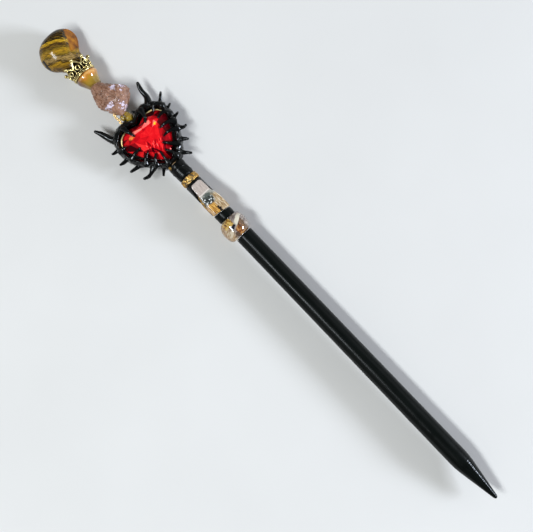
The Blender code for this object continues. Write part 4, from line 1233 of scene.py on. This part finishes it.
def stone(stations, centre_z, per_span, sides, bump_at=None):
    """A stone lofted from rows of station, lower edge, upper edge and half height."""
    rings = []
    for station, low, high, half_height in catmull_rom(stations, per_span):
        middle, half_width = (low + high) / 2, (high - low) / 2
        ring = []
        for angle in turns(sides):
            scale = bump_at(station, angle) if bump_at else 1.0
            y = middle + half_width * scale * math.cos(angle)
            z = centre_z + half_height * scale * math.sin(angle)
            ring.append(place(station, y, z))
        rings.append(ring)
    return loft(rings)


def build_pommel(tiger):
    station, y, lift = POMMEL_FACET_POINT
    bm = stone(POMMEL_STATIONS, AXIS_Z, 12, 160)
    flatten(bm, place(station, y, AXIS_Z + lift), POMMEL_FACET_NORMAL)
    finish_mesh("pommel_stone_polished", bm, tiger, ["pommel_stone"], sharp=30)


def build_chunk(raw):
    """A broken lump of crystal: small flat breaks that step in and out all over it."""
    def broken(station, angle):
        spot = Vector((station, 6.5 * math.cos(angle), 6.5 * math.sin(angle)))
        points = noise.voronoi(spot * BREAKS_PER_MM)[1]
        step = noise.cell(points[0] * 31.7)
        points_fine = noise.voronoi(spot * FINE_BREAKS_PER_MM)[1]
        fine = noise.cell(points_fine[0] * 17.3)
        tilt = (spot * BREAKS_PER_MM - points[0]).dot(Vector((step - 0.5, 0.6 - fine, fine - 0.4)))
        return 1.0 - 0.05 * step - 0.03 * fine + 0.06 * tilt

    bm = stone(CHUNK_STATIONS, AXIS_Z + CHUNK_RAISE, 16, 200, broken)
    for (station, y, lift), facing in CHUNK_BREAKS:
        flatten(bm, place(station, y, AXIS_Z + lift), facing)
    for vert in bm.verts:
        vert.co *= 1 + 0.0006 * noise.noise(vert.co / MM * 1.9)
    finish_mesh("rough_quartz_broken", bm, raw, ["rough_quartz"], sharp=25)


NECK_Y = -0.5
NECK_RADII = ((25.1, 5.4), (26.0, 5.7), (27.2, 5.5), (28.9, 4.6), (30.4, 3.9), (32.0, 3.2))


def build_neck(amber):
    rows = with_bore([tuple(row) for row in catmull_rom(NECK_RADII, 8)], PIN_BORE)

    def wave(station, angle, radius):
        return 0.0 if radius == PIN_BORE else 0.12 * round_noise(station / 3, angle)

    bm = lathe(rows, 96, wave, True, NECK_Y)
    finish_mesh("amber_neck_resin", bm, amber, ["amber_neck"])


def build_amber_link(yellow):
    """Lumps of resin on the pin and beside it, between the rough stone and the frame."""
    control = [(50.9, 1.0), (51.6, 1.5), (52.4, 1.7), (53.4, 2.0), (54.6, 1.9), (55.6, 1.2)]

    def lump(station, angle, radius):
        return 0.4 * round_noise(station / 1.6, angle, 1.2)

    bm = lathe(catmull_rom(control, 8), 48, lump, beside=0.3)
    finish_mesh("amber_link_resin", bm, yellow, ["amber_link"])
    bm = bmesh.new()
    verts = add_ball(bm, Vector(), 1.0, 4)
    for vert in verts:
        vert.co = vert.co * (1 + 0.3 * noise.noise(vert.co / MM * 1.1))
        vert.co.x *= 1.35
    beside_pin = place(52.0, -2.4, AXIS_Z + 0.7)
    bmesh.ops.translate(bm, verts=verts, vec=beside_pin)
    finish_mesh("amber_drop_resin", bm, yellow, ["amber_drop"])


def build_wires(wire):
    """Two stiff wires side by side, which wander a little and sink towards the ring."""
    for name in ("binding_wire_a", "binding_wire_b"):
        low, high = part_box(name)
        start, side, level = low.x, (low.y + high.y) / 2, (low.z + high.z) / 2
        reach = high.x + 0.6 * MM - start
        path = []
        for step in range(15):
            share = step / 14
            sideways, sink = 0.16 * MM * math.sin(step * 0.9), (0.25 - 0.5 * share) * MM
            path.append(Vector((start + reach * step / 14, side + sideways, level + sink)))
        bm = sweep(path, lambda share, angle: 0.25, 12)
        finish_mesh(f"{name}_drawn", bm, wire, [name], sharp=60)


CAP_RIM = 24.8
CAP_WALL = 0.6
CAP_PETALS = 8
CAP_Y = -0.6
CAP_RADII = ((16.5, 7.1), (18.6, 6.6), (20.8, 6.0), (22.8, 5.6), (24.3, 5.8), (CAP_RIM, 5.6))
PETAL_VALLEY = 20.7
PETAL_TIP = 17.3                  # on the top and bottom petals
PETAL_SPLAY = 1.9                 # the petals at the sides are bent outwards and so reach less far
MEDALLION_STATION = 21.5
MEDALLION_RADIUS = 0.95
BEAD_ROWS = ((23.3, 0.25, 56), (24.05, 0.27, 52))  # station, radius and number of beads
PETAL_BALL_OUT = 7.0              # how far the ball on each petal's tip is from the cap's middle


def cap_radius(station):
    for (s0, r0), (s1, r1) in zip(CAP_RADII, CAP_RADII[1:]):
        if station <= s1:
            return r0 + (r1 - r0) * (station - s0) / (s1 - s0)
    return CAP_RADII[-1][1]


def petal_tip(angle):
    return PETAL_TIP + PETAL_SPLAY * math.cos(angle) ** 2


def cap_edge(angle):
    """The station of the cap's edge: a valley between petals, and a point on each petal."""
    spacing = 2 * math.pi / CAP_PETALS
    local = (angle - TOP + spacing / 2) % spacing - spacing / 2
    rise = 1 - abs(local / (spacing / 2)) ** 0.9
    return PETAL_VALLEY - (PETAL_VALLEY - petal_tip(angle)) * rise


def on_cap(station, angle, proud):
    return around(station, angle, cap_radius(station) + proud, CAP_Y)


def build_cap(dark_gold, gold):
    """A crown of petals: a blackened shell with bright edging, medallions and rows of beads."""
    round_cap = turns(30 * CAP_PETALS)
    rings = []
    for angle in round_cap:
        edge = cap_edge(angle)
        rows = [edge + (CAP_RIM - edge) * part / 14 for part in range(15)]
        loop = [(station, cap_radius(station)) for station in rows]
        loop += [(CAP_RIM, PIN_BORE), (CAP_RIM - CAP_WALL, PIN_BORE)]
        for station in rows[::-1]:
            loop.append((min(station, CAP_RIM - CAP_WALL), cap_radius(station) - CAP_WALL))
        rings.append([around(station, angle, radius, CAP_Y) for station, radius in loop])
    finish_mesh(
        "bead_cap_shell", loft(rings, loop=True), dark_gold, ["bead_cap"],
        sharp=50,
    )

    wires = bmesh.new()
    edging = [on_cap(cap_edge(angle) + 0.25, angle, 0.1) for angle in round_cap]
    sweep(edging, lambda share, angle: 0.45, 12, wires, closed=True)
    for angle in turns(CAP_PETALS):
        turn = TOP + angle
        add_ball(wires, around(petal_tip(turn), turn, PETAL_BALL_OUT, CAP_Y), 0.85, 3)
        medallion = [
            on_cap(
                MEDALLION_STATION + MEDALLION_RADIUS * math.cos(t),
                turn + MEDALLION_RADIUS * math.sin(t) / cap_radius(MEDALLION_STATION), 0.3,
            )
            for t in turns(28)
        ]
        sweep(medallion, lambda share, angle: 0.34, 10, wires, closed=True)
        valley = turn + math.pi / CAP_PETALS
        for bead in range(5):
            add_ball(wires, on_cap(PETAL_VALLEY + 0.7 + 0.55 * bead, valley, 0.12), 0.26, 2)
    for station, radius, beads in BEAD_ROWS:
        for turn in turns(beads):
            add_ball(wires, on_cap(station, turn, 0.05), radius, 2)
    rim = [on_cap(CAP_RIM - 0.15, angle, 0.05) for angle in round_cap]
    sweep(rim, lambda share, angle: 0.3, 10, wires, closed=True)
    finish_mesh("bead_cap_filigree", wires, gold, sharp=60)


# ================================================================ camera, light and floor

CAMERA_STATION = 149.8
CAMERA_Y = -2.7
CAMERA_ABOVE_AXIS = 427.5
CAMERA_TURN = math.radians(46.205)
CAMERA_LENS = 60.8


def build_camera():
    data = bpy.data.cameras.new("camera")
    data.lens = CAMERA_LENS
    data.sensor_width = 36.0
    camera = bpy.data.objects.new("camera", data)
    camera.location = place(CAMERA_STATION, CAMERA_Y, AXIS_Z + CAMERA_ABOVE_AXIS)
    camera.rotation_euler = (0, 0, CAMERA_TURN)
    bpy.context.scene.collection.objects.link(camera)
    bpy.context.scene.camera = camera


def area_light(name, location, size, watts, colour, target):
    """A rectangular light that faces its target. Places and sizes are in metres."""
    data = bpy.data.lights.new(name, "AREA")
    data.shape = "RECTANGLE"
    data.size, data.size_y = size
    data.energy = watts
    data.color = colour
    light = bpy.data.objects.new(name, data)
    light.location = location
    light.rotation_euler = (target - light.location).to_track_quat("-Z", "Y").to_euler()
    bpy.context.scene.collection.objects.link(light)


def build_lights():
    """Even studio light, a weak softbox on each side, a small window and a tube above the wand."""
    middle, handle = Vector(), Vector((-0.2, 0, 0))
    area_light("sky", (0.1, 1.5, 0.8), (2.0, 1.2), 4.5, (0.96, 0.98, 1.0), middle)
    area_light("window", (0.95, 0.95, 0.5), (0.40, 0.26), 26, (0.78, 0.86, 1.0), middle)
    area_light("fill", (-0.5, -1.5, 0.8), (2.0, 1.2), 3, (1.0, 0.98, 0.95), middle)
    area_light("tube", (-0.2, -0.72, 1.25), (0.9, 0.22), 19, (0.88, 0.95, 1.0), handle)
    world = bpy.data.worlds.new("studio")
    bpy.context.scene.world = world
    world.use_nodes = True
    background = world.node_tree.nodes["Background"]
    background.inputs["Color"].default_value = (0.95, 0.97, 1.0, 1.0)
    background.inputs["Strength"].default_value = 0.18
    bpy.context.scene.view_settings.view_transform = "Standard"


def build_floor():
    bm = bmesh.new()
    half = 1.5                    # metres
    corners = ((-half, -half, 0), (half, -half, 0), (half, half, 0), (-half, half, 0))
    bm.faces.new([bm.verts.new(corner) for corner in corners])
    mesh = bpy.data.meshes.new("floor")
    bm.to_mesh(mesh)
    bm.free()
    mesh.materials.append(pale_floor())
    floor = bpy.data.objects.new("floor", mesh)
    bpy.context.scene.collection.objects.link(floor)


def repaint(node, material):
    """Give a CAD node that stays as it is a better material."""
    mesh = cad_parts[node].data
    mesh.materials.clear()
    mesh.materials.append(material)


build_camera()
build_lights()
build_floor()

black_paint = painted_black()
black_clay = gloss_black()
leaf = gold_leaf()
steel = metal("steel", (0.42, 0.42, 0.43), (0.62, 0.62, 0.63), 0.3)
resin = yellow_resin()

build_shaft(black_paint)
build_band(black_paint)
build_bead(clear_glass())
build_crystal(quartz())
build_socket(black_clay)
build_leaf_sheet(leaf)
build_leaf_ring(leaf)
build_sleeve(wrap_black())
build_fleck(leaf)
gem_surface = build_gem(red_glass())
build_rim(metal("gilt_rim", rgb(206, 176, 110), rgb(246, 226, 170), 0.5, strength=0.15))
build_ring(black_clay)
build_limbs(black_clay, gem_surface)
build_pommel(tiger_eye())
build_cap(
    metal("blackened_gold", rgb(3, 3, 2), rgb(26, 21, 11), 0.5),
    metal("antique_gold", rgb(196, 172, 104), rgb(244, 228, 164), 0.22),
)
build_neck(amber_resin())
build_chunk(raw_crystal())
build_amber_link(resin)
build_wires(metal("gold_wire", (0.55, 0.33, 0.10), (0.85, 0.62, 0.26), 0.25))

repaint("gem_foil", metal("bright_foil", (0.75, 0.72, 0.70), (0.92, 0.90, 0.88), 0.15))
repaint("gem_bed", black_clay)
repaint("handle_core", bare_wood())
repaint("handle_pin", steel)
repaint("shaft_pin", steel)
